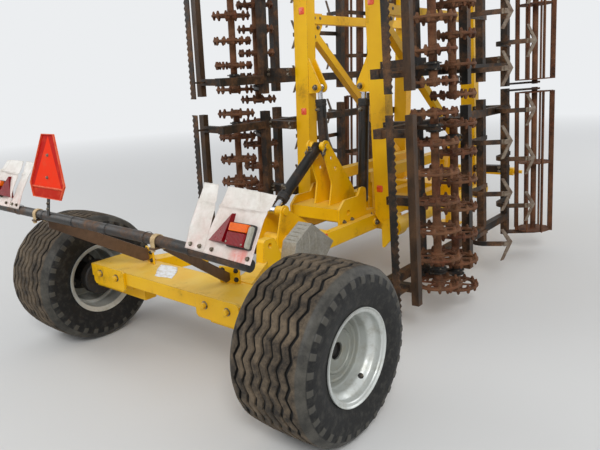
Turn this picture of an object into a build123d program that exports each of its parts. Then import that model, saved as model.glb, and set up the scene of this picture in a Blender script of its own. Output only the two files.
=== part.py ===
from build123d import *
import os
from math import cos, radians, sin

# A trailed seedbed compactor, folded for the road and parked on its jack and its two wheels.
# Millimetres. The front of the machine, its travel direction, is -Y, +X is its left side and +Z is up.
# Lengths along the machine are measured ahead of the axle, and ahead() turns them into Y.

# Transport wheels
track = 2094
tyre_diameter = 866
tyre_width = 456
rim_seat_diameter = 430
rim_lip_diameter = 472
rim_width = 400
hub_diameter = 150
spindle_diameter = 64
running_clearance = 0.3

# Axle and carriage
beam_length = 1400
beam_depth = 258
beam_height = 80
beam_underside_z = 520
beam_setback = 14
clamp_plate = 15
stub_size = 80
arm_x = 270
arm_width = 60
arm_height = 112
flare_ahead = 450
flare_inner_x = 360
flare_outer_x = 490
pivot_ahead = 1670
pivot_z = 580
pivot_diameter = 60
lug_ahead = 865
lug_z = 810
lug_x = 92
front_tube_ahead = 1110
plate = 15

# Lamp bar, leaning forward with its boards
lamp_bar_back = 500
lamp_bar_z = 1020
lamp_bar_diameter = 52
lamp_bar_length = 2200
lamp_lean = 28
board_width = 380
board_height = 310
board_thickness = 4
board_x = 935
lamp_depth = 46
lamp_foot = 30
post_x = 365
post_ahead = 70
post_width = 126
post_height = 95
strap_x = 540
strap_width = 40
strap_thickness = 8

# Centre frame, tower and drawbar
head_half_width = 235
head_rear_ahead = 1300
head_horn_ahead = 1652
head_horn_z = 856
head_plate = 20
seat_z = 650
seat_thickness = 16
tower_ahead = 1384
tower_z = 1185
tower_half_gap = 62
fold_x = 455
fold_z = 560
rear_beam_ahead = 1705
front_beam_ahead = 3250
hinge_tube_diameter = 110
rear_cross_ahead = 1816
front_cross_ahead = 3105
cross_depth = 110
cross_height = 120
cross_underside_z = 500
spine_x = 150
spine_size = 90
spine_top_z = 940
ear_tip_x = 402
ear_tip_z = 412
hitch_ahead = 4300
hitch_z = 560
hitch_pin_diameter = 36.6
hitch_pin_length = 60
hitch_width = 965
jack_ahead = 3900

# Folding wings, given upright; each then leans inwards about its fold axis
wing_lean = 1.9
wing_beam_x = 381
wing_beam_width = 130
wing_beam_depth = 100
wing_beam_foot_z = 640
gusset_pin_x = 242
gusset_pin_z = 1607
section_foot_z = 200
section_height = 1240
section_gap = 100
rail_x = 730
bar_size = 60
tine_bars_ahead = (2670, 3200)
rear_bar_x = 950
rear_bar_ahead = 1110
rear_bar_size = 50
crumbler_x = 920
crumbler_ahead = 1950

# Ground tools
ring_diameter = 310
ring_count = 7
ring_thickness = 18
ring_lug_length = 64
ring_axle_diameter = 58
first_ring = 59
crosskill_x = 929
crosskill_ahead = {"rear": 1452, "front": 1729}
cage_x = 945
cage_ahead = 3320
cage_diameter = 340
cage_axle_diameter = 50
tine_reach = 1080
tine_bend = 100
tines_in_row = 3
leveller_x = 890
leveller_width = 56
leveller_thickness = 10
leveller_ahead = 970
tooth_pitch = 40
tooth_depth = 12

# Cylinders
barrel_diameter = 80
rod_diameter = 40
eye_bore = 40
eye_radius = 30
barrel_start = 42
cylinder_clearance = 0.3
rod_reach = 95
fold_base_x = 170
fold_base_z = 740
fold_cylinder_ahead = rear_beam_ahead
fold_stroke = 480
lift_extension = 160
lift_retraction = 50

section_feet = {"lower": section_foot_z, "upper": section_foot_z + section_height + section_gap}
ring_pitch = (section_height - 94) / (ring_count - 1)
crosskill_first_ring = {"rear": first_ring, "front": first_ring - ring_pitch / 2}
board_seat = lamp_bar_diameter / 2 + running_clearance
lamp_face = board_seat + board_thickness + lamp_depth
front_reach = hitch_ahead + 60
rear_reach = lamp_bar_back + lamp_face * cos(radians(lamp_lean)) - lamp_foot * sin(radians(lamp_lean))
axle_y = (front_reach - rear_reach) / 2
axle_z = tyre_diameter / 2

os.makedirs("parts", exist_ok=True)


def ahead(distance):
    """Y of a place this far ahead of the axle."""
    return axle_y - distance


def at(x, distance, z):
    """A place given across, ahead of the axle and up."""
    return (x, ahead(distance), z)


def save(part, name):
    """Label a finished piece and write it."""
    part.label = name
    export_step(part, "parts/" + name + ".step")


def mirrored(part):
    """The same piece on the right side of the machine."""
    return mirror(part, about=Plane.YZ)


def leaned(part):
    """An upright wing piece, leaned inwards about the left fold axis."""
    return part.rotate(Axis((fold_x, 0, fold_z), (0, 1, 0)), -wing_lean)


def save_pair(part, name):
    """Write a wing piece leaned over, on the left and mirrored to the right."""
    left = leaned(part)
    save(left, name + "_left")
    save(mirrored(left), name + "_right")


def block(x, distance, z, width, depth, height):
    """A box between faces, placed by its middle across, its middle ahead and its underside."""
    with Locations(at(x, distance, z)):
        Box(width, depth, height, align=(Align.CENTER, Align.CENTER, Align.MIN))


def side_plate(points, x, thickness, holes=(), bosses=(), rounds=()):
    """A plate that stands along the machine, from its outline as (ahead, z) pairs, about x.

    Holes and bosses are given as (ahead, z, diameter), and rounded corners as (ahead, z, radius).
    """
    with BuildSketch(Plane.YZ.offset(x - thickness / 2)) as outline:
        with BuildLine():
            Polyline([(ahead(a), z) for a, z in points], close=True)
        make_face()
        for a, z, radius in rounds:
            fillet(outline.vertices().sort_by_distance((ahead(a), z, 0))[0], radius)
        for a, z, diameter in bosses:
            with Locations((ahead(a), z)):
                Circle(diameter / 2)
        for a, z, diameter in holes:
            with Locations((ahead(a), z)):
                Circle(diameter / 2, mode=Mode.SUBTRACT)
    extrude(outline.sketch, amount=thickness)


def rod_between(start, end, diameter, mode=Mode.ADD):
    """A round bar from one place to another."""
    line = Edge.make_line(start, end)
    with BuildSketch(Plane(origin=start, z_dir=line % 0)) as section:
        Circle(diameter / 2)
    extrude(section.sketch, amount=line.length, mode=mode)


def ring_between(start, end, outer, bore):
    """A bush or an eye from one place to another, with its bore."""
    line = Edge.make_line(start, end)
    with BuildSketch(Plane(origin=start, z_dir=line % 0)) as section:
        Circle(outer / 2)
        Circle(bore / 2, mode=Mode.SUBTRACT)
    extrude(section.sketch, amount=line.length)


def box_between(start, end, width, depth, x_dir):
    """A rectangular bar from one place to another; width lies along x_dir."""
    line = Edge.make_line(start, end)
    with BuildSketch(Plane(origin=start, x_dir=x_dir, z_dir=line % 0)) as section:
        Rectangle(width, depth)
    extrude(section.sketch, amount=line.length)


# Wheels: a wide implement tyre on a deep-dished rim, with the hub bolted in it

wheel_x = track / 2
tyre_radius = tyre_diameter / 2
seat_radius = rim_seat_diameter / 2
lip_radius = rim_lip_diameter / 2
half_rim = rim_width / 2
half_tyre = tyre_width / 2
belly_radius = (lip_radius + tyre_radius) / 2
tread_half_width = 182
wheel_axis = Axis((0, axle_y, axle_z), (1, 0, 0))
wheel_plane = Plane(origin=(wheel_x, axle_y, axle_z), x_dir=(1, 0, 0), z_dir=(0, -1, 0))

with BuildPart() as tyre:
    with BuildSketch(wheel_plane):
        with BuildLine():
            Polyline(
                (-half_rim, seat_radius),
                (half_rim, seat_radius),
                (half_tyre, belly_radius),
                (tread_half_width, tyre_radius),
                (-tread_half_width, tyre_radius),
                (-half_tyre, belly_radius),
                close=True,
            )
        make_face()
    revolve(axis=wheel_axis)

rim_wall = 9
lip_width = 14
lip_neck = 6
lip_rise = (half_tyre - half_rim) * (lip_radius - seat_radius) / (belly_radius - seat_radius)
disc_x = -40
disc_thickness = 12
hub_bore_radius = spindle_diameter / 2 + running_clearance
hub_inner_x = wheel_x - 205
hub_outer_x = wheel_x + 20
barrel_radius = seat_radius - rim_wall
with BuildPart() as rim:
    with BuildSketch(wheel_plane):
        with BuildLine():
            Polyline(
                (-half_rim - lip_rise - lip_width, lip_radius),
                (-half_rim - lip_rise, lip_radius),
                (-half_rim, seat_radius),
                (half_rim, seat_radius),
                (half_rim + lip_rise, lip_radius),
                (half_rim + lip_rise + lip_width, lip_radius),
                (half_rim + lip_neck, barrel_radius),
                (disc_x + disc_thickness, barrel_radius),
                (disc_x + disc_thickness, hub_diameter / 2),
                (hub_outer_x - wheel_x, hub_diameter / 2 - 12),
                (hub_outer_x - wheel_x, hub_bore_radius),
                (hub_inner_x - wheel_x, hub_bore_radius),
                (hub_inner_x - wheel_x, hub_diameter / 2),
                (disc_x, hub_diameter / 2),
                (disc_x, barrel_radius),
                (-half_rim - lip_neck, barrel_radius),
                close=True,
            )
        make_face()
    revolve(axis=wheel_axis)

save(tyre.part, "tyre_left")
save(mirrored(tyre.part), "tyre_right")
save(rim.part, "rim_left")
save(mirrored(rim.part), "rim_right")

# Axle: a flat box beam with a square stub axle clamped under each end

beam_top_z = beam_underside_z + beam_height
beam_front_ahead = beam_depth / 2 - beam_setback
stub_inner_x = 300
with BuildPart() as axle_beam:
    block(0, -beam_setback, beam_underside_z, beam_length, beam_depth, beam_height)
save(axle_beam.part, "axle_beam")

shoe_length = 320
shoe_depth = 190
stub_top_z = axle_z + stub_size / 2
clamp_outer_x = 660
clamp_inner_x = {"rear": 330, "front": flare_outer_x + 8}
clamp_bolts_x = {"rear": (575, 405), "front": (575,)}
clamp_foot_z = 480
clamp_top_z = beam_top_z + 12
clamp_corner = 16
clamp_bolt_z = beam_top_z - 42
with BuildPart() as stub_axles:
    stub_length = hub_inner_x - 6 - stub_inner_x
    block(stub_inner_x + stub_length / 2, 0, axle_z - stub_size / 2, stub_length, stub_size, stub_size)
    block(500, 0, stub_top_z, shoe_length, shoe_depth, beam_underside_z - stub_top_z)
    block(
        (clamp_inner_x["front"] + clamp_outer_x) / 2, -beam_setback, beam_underside_z - clamp_plate,
        clamp_outer_x - clamp_inner_x["front"], beam_depth + 2 * clamp_plate, clamp_plate,
    )
    for face, middle in (
        ("rear", -beam_setback - (beam_depth + clamp_plate) / 2),
        ("front", -beam_setback + (beam_depth + clamp_plate) / 2),
    ):
        clamp_width = clamp_outer_x - clamp_inner_x[face]
        with BuildSketch(Plane.XZ.offset(-ahead(middle) - clamp_plate / 2)) as clamp:
            with Locations(((clamp_inner_x[face] + clamp_outer_x) / 2, (clamp_foot_z + clamp_top_z) / 2)):
                Rectangle(clamp_width, clamp_top_z - clamp_foot_z)
            chamfer(clamp.vertices(), clamp_corner)
            with Locations(*[(x, clamp_bolt_z) for x in clamp_bolts_x[face]]):
                Circle(13, mode=Mode.SUBTRACT)
        extrude(clamp.sketch, amount=clamp_plate)
    rod_between(at(stub_inner_x + stub_length, 0, axle_z), at(hub_outer_x - 14, 0, axle_z), spindle_diameter)
    mirror(about=Plane.YZ)
save(stub_axles.part, "stub_axles")

# Carriage: two trailing arms, joined by a cross tube that carries the lift cylinder's lugs

arm_foot_z = beam_underside_z
post_thickness = 12
strap_foot = Vector(*at(post_x, post_ahead, beam_top_z))
strap_run = Vector(*at(strap_x, -lamp_bar_back, beam_top_z)) - strap_foot


def strap_plane(side):
    """The upright plane of a lamp bar strap, from its post on the beam towards the lamp bar."""
    return Plane(
        origin=(side * strap_foot.X, strap_foot.Y, strap_foot.Z),
        x_dir=(side * strap_run.X, strap_run.Y, 0),
        z_dir=(strap_run.Y, -side * strap_run.X, 0),
    )


with BuildPart() as carriage_frame:
    for side in (1, -1):
        with BuildSketch(Plane.XY.offset(arm_foot_z)):
            Polygon(
                (side * flare_inner_x, ahead(beam_front_ahead)),
                (side * flare_outer_x, ahead(beam_front_ahead)),
                (side * (arm_x + arm_width / 2), ahead(flare_ahead)),
                (side * (arm_x - arm_width / 2), ahead(flare_ahead)),
                align=None,
            )
        extrude(amount=beam_height + 6)
        side_plate(
            [
                (flare_ahead - 40, arm_foot_z),
                (flare_ahead - 40, beam_top_z + 10),
                (flare_ahead - 20, 742),
                (flare_ahead + 70, 742),
                (flare_ahead + 120, beam_top_z + 30),
                (pivot_ahead, pivot_z + arm_height / 2),
                (pivot_ahead, pivot_z - arm_height / 2),
            ],
            side * arm_x,
            arm_width,
            bosses=[(pivot_ahead, pivot_z, arm_height)],
            holes=[
                (pivot_ahead, pivot_z, pivot_diameter + 2 * running_clearance),
                (flare_ahead + 30, 698, 34),
            ],
            rounds=[(flare_ahead - 20, 742, 22), (flare_ahead + 70, 742, 22)],
        )
        side_plate(
            [
                (lug_ahead - 90, 560),
                (lug_ahead - 90, 640),
                (lug_ahead - 40, lug_z),
                (lug_ahead + 40, lug_z),
                (front_tube_ahead + 40, 650),
                (front_tube_ahead + 40, 560),
            ],
            side * lug_x,
            plate,
            bosses=[(lug_ahead, lug_z, 84)],
            holes=[(lug_ahead, lug_z, 42)],
        )
        ring_between(at(side * 30, lug_ahead, lug_z), at(side * lug_x, lug_ahead, lug_z), 68, 42)
        rod_between(
            at(side * (lug_x + plate / 2), lug_ahead, lug_z),
            at(side * (lug_x + plate / 2 + 12), lug_ahead, lug_z),
            56,
        )
        with BuildSketch(strap_plane(side)):
            with Locations((-post_thickness / 2, post_height / 2)):
                Rectangle(post_thickness, post_height)
        extrude(amount=post_width / 2, both=True)
    rod_between(at(-arm_x, lug_ahead, 600), at(arm_x, lug_ahead, 600), 90)
    rod_between(at(-arm_x, front_tube_ahead, 605), at(arm_x, front_tube_ahead, 605), 70)
save(carriage_frame.part, "carriage_frame")

# Lamp bar: a round tube behind the axle, on two curved straps that start at posts on the beam

board_plane = Plane(
    origin=at(0, -lamp_bar_back, lamp_bar_z), x_dir=(-1, 0, 0), z_dir=(0, 1, 0)
).rotated((lamp_lean, 0, 0))
triangle_x = 400
holder_width = 60
holder_thickness = 6
holder_height = 330
strap_rise = lamp_bar_z - (lamp_bar_diameter + strap_thickness) / 2 + 1 - beam_top_z
strap_end = strap_run.length + 20
with BuildPart() as lamp_bar:
    rod_between(
        at(-lamp_bar_length / 2, -lamp_bar_back, lamp_bar_z),
        at(lamp_bar_length / 2, -lamp_bar_back, lamp_bar_z),
        lamp_bar_diameter,
    )
    for side in (1, -1):
        with BuildSketch(strap_plane(side)):
            with BuildLine():
                Line((strap_thickness / 2, 2), (strap_thickness / 2, post_height - 10))
                TangentArc((strap_thickness / 2, post_height - 10), (strap_end, strap_rise), tangent=(0, 1))
            trace(line_width=strap_thickness)
        extrude(amount=strap_width / 2, both=True)
    with BuildSketch(board_plane.offset(board_seat - holder_thickness)):
        with Locations((-triangle_x, holder_height / 2)):
            Rectangle(holder_width, holder_height)
    extrude(amount=holder_thickness)
save(lamp_bar.part, "lamp_bar")

with BuildPart() as lamp_boards:
    for side in (1, -1):
        inner = board_x - board_width / 2
        outer = board_x + board_width / 2
        notch = inner + 95
        with BuildSketch(board_plane.offset(board_seat)):
            Polygon(
                (-side * inner, 0),
                (-side * outer, 0),
                (-side * outer, board_height),
                (-side * (notch + 50), board_height),
                (-side * (notch + 25), 60),
                (-side * notch, board_height),
                (-side * inner, board_height),
                align=None,
            )
        extrude(amount=board_thickness)
save(lamp_boards.part, "lamp_boards")

lamp_width = 160
lamp_height = 120
with BuildPart() as tail_lamps:
    with BuildSketch(board_plane.offset(board_seat + board_thickness)):
        for side in (1, -1):
            with Locations((-side * (board_x + 85), lamp_foot + lamp_height / 2)):
                RectangleRounded(lamp_width, lamp_height, 20)
    extrude(amount=lamp_depth)
save(tail_lamps.part, "tail_lamps")

with BuildPart() as warning_triangle:
    with BuildSketch(board_plane.offset(board_seat)):
        with Locations((-triangle_x, 60)):
            Polygon((-175, 0), (-198, 40), (-24, 345), (24, 345), (198, 40), (175, 0), align=None)
    extrude(amount=board_thickness)
save(warning_triangle.part, "warning_triangle")

chock_width = 110
with BuildPart() as wheel_chock:
    side_plate(
        [(560, 560), (600, 700), (760, 790), (980, 620), (900, 540)],
        -(arm_x + arm_width / 2 + chock_width / 2),
        chock_width,
    )
save(wheel_chock.part, "wheel_chock")

# Rear head: the box that carries the carriage pivot, the tower and the fold cylinders

rear_cross_face = rear_cross_ahead - cross_depth / 2
cylinder_lug_gap = 62
cylinder_lug = 14
seat_block_height = 90
with BuildPart() as rear_head:
    for side in (1, -1):
        side_plate(
            [
                (head_rear_ahead, 590),
                (head_rear_ahead, seat_z + seat_block_height),
                (head_rear_ahead + 70, 800),
                (head_horn_ahead - 110, 800),
                (head_horn_ahead - 70, head_horn_z),
                (head_horn_ahead, head_horn_z),
                (head_horn_ahead, seat_z),
                (rear_cross_face, seat_z),
                (rear_cross_face, 520),
                (1600, 510),
            ],
            side * (head_half_width - head_plate / 2),
            head_plate,
            rounds=[(head_horn_ahead, head_horn_z, 32), (head_rear_ahead, seat_z + seat_block_height, 24)],
            holes=[(head_rear_ahead + 110, 700, 40)],
        )
    block(0, head_rear_ahead + 130, seat_z, 2 * (head_half_width - head_plate), 240, seat_block_height)
    block(0, (1550 + rear_cross_face) / 2, seat_z, 2 * head_half_width, rear_cross_face - 1550, seat_thickness)
    rod_between(
        at(-arm_x - arm_width / 2 - 14, pivot_ahead, pivot_z),
        at(arm_x + arm_width / 2 + 14, pivot_ahead, pivot_z),
        pivot_diameter,
    )
    for side in (1, -1):
        for offset in (-1, 1):
            middle = fold_cylinder_ahead + offset * (cylinder_lug_gap + cylinder_lug) / 2
            with BuildSketch(Plane.XZ.offset(-ahead(middle) - cylinder_lug / 2)):
                with Locations((side * fold_base_x, fold_base_z)):
                    Circle(eye_radius)
                with Locations((side * fold_base_x, (fold_base_z + seat_z + seat_thickness) / 2)):
                    Rectangle(2 * eye_radius, fold_base_z - seat_z - seat_thickness)
            extrude(amount=cylinder_lug)
        reach = cylinder_lug_gap / 2 + cylinder_lug + 10
        rod_between(
            at(side * fold_base_x, fold_cylinder_ahead - reach, fold_base_z),
            at(side * fold_base_x, fold_cylinder_ahead + reach, fold_base_z),
            eye_bore - 2 * cylinder_clearance,
        )
save(rear_head.part, "rear_head")

# Tower: two plates that lean back over the carriage and hold the lift cylinder

seat_block_top = seat_z + seat_block_height
seat_top = seat_z + seat_thickness
tower_rear_foot = 1400
tower_front_foot = 1720
tower_boss = 88
with BuildPart() as tower:
    for side in (1, -1):
        side_plate(
            [
                (tower_rear_foot, seat_block_top),
                (tower_rear_foot + 40, 900),
                (tower_ahead - tower_boss / 2, tower_z),
                (tower_ahead + tower_boss / 2, tower_z + 10),
                (tower_front_foot, 820),
                (tower_front_foot, seat_top),
                (1560, seat_top),
                (1550, seat_block_top),
            ],
            side * (tower_half_gap + plate / 2),
            plate,
            bosses=[(tower_ahead, tower_z, tower_boss)],
            holes=[(tower_ahead + 58, tower_z - 92, 30), (tower_ahead + 104, tower_z - 176, 30)],
            rounds=[(tower_front_foot, 820, 40), (tower_rear_foot + 40, 900, 40)],
        )
        ring_between(at(side * 32, tower_ahead, tower_z), at(side * tower_half_gap, tower_ahead, tower_z),
                     64, eye_bore)
    reach = tower_half_gap + plate + 12
    rod_between(at(-reach, tower_ahead, tower_z), at(reach, tower_ahead, tower_z),
                eye_bore - 2 * cylinder_clearance)
save(tower.part, "tower")

# Centre frame: cross beams at both fold hinges, joined by a pair of spines

hinge_boss = 100
hinge_tube_start = rear_beam_ahead - 70
hinge_tube_end = front_beam_ahead + 70
cross_reach = 2 * (fold_x - hinge_tube_diameter / 2 + 15)
spine_underside_z = cross_underside_z + 20
spine_start = rear_cross_face + 20
spine_end = front_cross_ahead + cross_depth / 2
spine_middle = (spine_start + spine_end) / 2
ear_plate = 14
with BuildPart() as centre_frame:
    for middle in (rear_cross_ahead, (rear_cross_ahead + front_cross_ahead) / 2, front_cross_ahead):
        block(0, middle, cross_underside_z, cross_reach, cross_depth, cross_height)
    for side in (1, -1):
        rod_between(
            at(side * fold_x, hinge_tube_start, fold_z),
            at(side * fold_x, hinge_tube_end, fold_z),
            hinge_tube_diameter,
        )
        with BuildSketch(Plane.XZ.offset(-ahead(hinge_tube_start) - ear_plate)):
            with Locations((side * fold_x, fold_z)):
                Circle(hinge_tube_diameter / 2 + 12)
            with Locations((side * ear_tip_x, ear_tip_z)):
                Circle(12)
            make_hull()
        extrude(amount=ear_plate)
        block(side * spine_x, spine_middle, spine_underside_z, spine_size, spine_end - spine_start, spine_size)
        block(side * spine_x, spine_middle, spine_top_z - 80, spine_size, spine_end - spine_start, 80)
        for post in (spine_start + 60, spine_end - 60):
            block(side * spine_x, post, cross_underside_z, spine_size, 80, spine_top_z - cross_underside_z - 40)
save(centre_frame.part, "centre_frame")

# Drawbar: a tapered tongue with the parking jack, and the crossbar for the lower links

tongue_end = hitch_ahead - 90
tongue_width = 180
tongue_root_width = 300
taper_ahead = 3600
tongue_height = 120
swivel_pin = 30
yoke_plate = 16
with BuildPart() as drawbar:
    with BuildSketch(Plane.XY.offset(hitch_z - tongue_height / 2)):
        Polygon(
            (-tongue_root_width / 2, ahead(spine_end)),
            (-tongue_width / 2, ahead(taper_ahead)),
            (-tongue_width / 2, ahead(tongue_end)),
            (tongue_width / 2, ahead(tongue_end)),
            (tongue_width / 2, ahead(taper_ahead)),
            (tongue_root_width / 2, ahead(spine_end)),
            align=None,
        )
    extrude(amount=tongue_height)
    for z in (hitch_z - tongue_height / 2, hitch_z + tongue_height / 2 - yoke_plate):
        with BuildSketch(Plane.XY.offset(z)):
            with Locations((0, ahead(tongue_end + 60))):
                Rectangle(110, 180)
            with Locations((0, ahead(hitch_ahead))):
                Circle(swivel_pin / 2 + running_clearance, mode=Mode.SUBTRACT)
        extrude(amount=yoke_plate)
save(drawbar.part, "drawbar")

jack_size = 80
jack_bracket = 16
jack_x = tongue_width / 2 + jack_bracket + jack_size / 2
with BuildPart() as parking_jack:
    block(jack_x, jack_ahead, 250, jack_size, jack_size, 620)
    block(jack_x, jack_ahead, 14, 62, 62, 236)
    block(jack_x, jack_ahead, 0, 240, 200, 14)
    block(tongue_width / 2 + jack_bracket / 2, jack_ahead, hitch_z - 50, jack_bracket, 160, 100)
save(parking_jack.part, "parking_jack")

with BuildPart() as hitch_crossbar:
    with Locations(at(0, hitch_ahead, hitch_z)):
        Box(hitch_width - 2 * hitch_pin_length, 80, tongue_height - 2 * yoke_plate - 12)
        Cylinder(swivel_pin / 2, tongue_height + 16)
    for side in (1, -1):
        rod_between(
            at(side * (hitch_width / 2 - hitch_pin_length), hitch_ahead, hitch_z),
            at(side * (hitch_width / 2 + 20), hitch_ahead, hitch_z),
            hitch_pin_diameter,
        )
save(hitch_crossbar.part, "hitch_crossbar")

# Wing frame: two box beams, a strut, a diagonal and the gussets of the fold cylinder

strut_z = 2120
strut_width = 80
strut_depth = 70
gusset_foot_z = 1560
gusset_top_z = 1830
gusset_gap = 62
gusset_plate = 14
hinge_wall = 22
knee_plate = 60
wing_beam_inner_x = wing_beam_x - wing_beam_width / 2
beam_front_face = rear_beam_ahead + wing_beam_depth / 2
hanger_heights = {
    level: [foot_z + share * section_height for share in shares]
    for level, foot_z, shares in (
        ("lower", section_feet["lower"], (0.435, 0.871)),
        ("upper", section_feet["upper"], (0.129, 0.613)),
    )
}
wing_beam_top_z = hanger_heights["upper"][1] + bar_size + 60
with BuildPart() as wing_frame:
    for middle in (rear_beam_ahead, front_beam_ahead):
        block(wing_beam_x, middle, wing_beam_foot_z, wing_beam_width, wing_beam_depth,
              wing_beam_top_z - wing_beam_foot_z)
        with BuildSketch(Plane.XZ.offset(-ahead(middle) - hinge_boss / 2)):
            with Locations((fold_x, fold_z)):
                Circle(hinge_tube_diameter / 2 + hinge_wall)
            Polygon(
                (wing_beam_x - wing_beam_width / 2, wing_beam_foot_z),
                (fold_x - hinge_tube_diameter / 2 - hinge_wall, fold_z),
                (fold_x + hinge_tube_diameter / 2 + hinge_wall, fold_z),
                (wing_beam_x + wing_beam_width / 2, wing_beam_foot_z),
                align=None,
            )
            with Locations((fold_x, fold_z)):
                Circle(hinge_tube_diameter / 2 + running_clearance, mode=Mode.SUBTRACT)
        extrude(amount=hinge_boss)
    box_between(
        at(wing_beam_x, beam_front_face, strut_z),
        at(wing_beam_x, front_beam_ahead - wing_beam_depth / 2, strut_z),
        strut_width, strut_depth, (1, 0, 0),
    )
    box_between(
        at(wing_beam_x, beam_front_face - 10, strut_z - 60),
        at(wing_beam_x, front_beam_ahead - wing_beam_depth / 2 + 5, 860),
        60, 60, (1, 0, 0),
    )
    side_plate(
        [
            (beam_front_face - 5, strut_z + strut_depth / 2 + 10),
            (beam_front_face - 5, strut_z - 170),
            (beam_front_face + 60, strut_z - 170),
            (beam_front_face + 140, strut_z - 50),
            (beam_front_face + 140, strut_z + strut_depth / 2 + 10),
        ],
        wing_beam_x,
        knee_plate,
    )
    for offset in (-1, 1):
        plate_ahead = fold_cylinder_ahead + offset * (gusset_gap + gusset_plate) / 2
        with BuildSketch(Plane.XZ.offset(-ahead(plate_ahead) - gusset_plate / 2)):
            with Locations((gusset_pin_x, gusset_pin_z)):
                Circle(42)
            with Locations((wing_beam_inner_x + 3, (gusset_foot_z + gusset_top_z) / 2)):
                Rectangle(6, gusset_top_z - gusset_foot_z)
            make_hull()
        extrude(amount=gusset_plate)
        head_ahead = plate_ahead + offset * gusset_plate / 2
        rod_between(
            at(gusset_pin_x, head_ahead, gusset_pin_z), at(gusset_pin_x, head_ahead + offset * 12, gusset_pin_z), 56
        )
save_pair(wing_frame.part, "wing_frame")

# Tool sections: each wing has a lower and an upper one, hung on the wing beams

rail_rear_ahead = 1080
rail_front_ahead = tine_bars_ahead[1] + bar_size / 2
rail_inset = 130
roller_beam_ahead = 1590
hanger_depth = 80
bearing_diameter = 84
bearing_plate = 24
bearing_rings = (0.5, 5.5)
cage_plate = 16
cage_end_gap = 14
wing_beam_side = wing_beam_x + wing_beam_width / 2
for level, foot_z in section_feet.items():
    with BuildPart() as section_frame:
        for z in (foot_z + rail_inset, foot_z + section_height - rail_inset):
            block(rail_x, (rail_rear_ahead + rail_front_ahead) / 2, z - 30, bar_size,
                  rail_front_ahead - rail_rear_ahead, bar_size)
            block((rail_x + rear_bar_x) / 2, rear_bar_ahead, z - 25, rear_bar_x - rail_x, 50, 50)
            block((rail_x + crumbler_x) / 2, crumbler_ahead, z - 25, crumbler_x - rail_x, 50, 50)
        block(rail_x, tine_bars_ahead[0], foot_z + 20, bar_size, bar_size, section_height - 40)
        block(rail_x, roller_beam_ahead, foot_z + 20, bar_size, bar_size, section_height - 40)
        block(rail_x, tine_bars_ahead[1], foot_z - 40, bar_size, bar_size, section_height + 80)
        block(rear_bar_x, rear_bar_ahead, foot_z + 20, rear_bar_size, rear_bar_size, section_height - 40)
        block(crumbler_x, crumbler_ahead, foot_z + 20, bar_size, bar_size, section_height - 40)
        for place, roller_ahead in crosskill_ahead.items():
            first_z = foot_z + crosskill_first_ring[place]
            plates = [Plane.XY.offset(first_z + share * ring_pitch) for share in bearing_rings]
            with BuildSketch(*plates):
                with Locations((crosskill_x, ahead(roller_ahead))):
                    RegularPolygon(bearing_diameter / 2, 12)
                with Locations((rail_x, ahead(roller_beam_ahead))):
                    Rectangle(bar_size, bar_size)
                make_hull()
                with Locations((crosskill_x, ahead(roller_ahead))):
                    Circle(ring_axle_diameter / 2 + running_clearance, mode=Mode.SUBTRACT)
            extrude(amount=bearing_plate / 2, both=True)
        ends = [
            Plane.XY.offset(foot_z - cage_end_gap - cage_plate),
            Plane.XY.offset(foot_z + section_height + cage_end_gap),
        ]
        with BuildSketch(*ends):
            with Locations((cage_x, ahead(cage_ahead))):
                RegularPolygon(46, 12)
            with Locations((rail_x, ahead(tine_bars_ahead[1]))):
                Rectangle(bar_size, bar_size)
            make_hull()
            with Locations((cage_x, ahead(cage_ahead))):
                Circle(cage_axle_diameter / 2 + running_clearance, mode=Mode.SUBTRACT)
        extrude(amount=cage_plate)
        for z in hanger_heights[level]:
            block((wing_beam_side + rail_x + 30) / 2, roller_beam_ahead + 60, z, rail_x + 30 - wing_beam_side,
                  hanger_depth, bar_size)
            block((wing_beam_side + rail_x + 30) / 2, tine_bars_ahead[1], z, rail_x + 30 - wing_beam_side,
                  hanger_depth, bar_size)
    save_pair(section_frame.part, "section_frame_" + level)

# Rollers: ringed crosskill rollers that mesh in pairs, and a cage roller at the front

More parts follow.
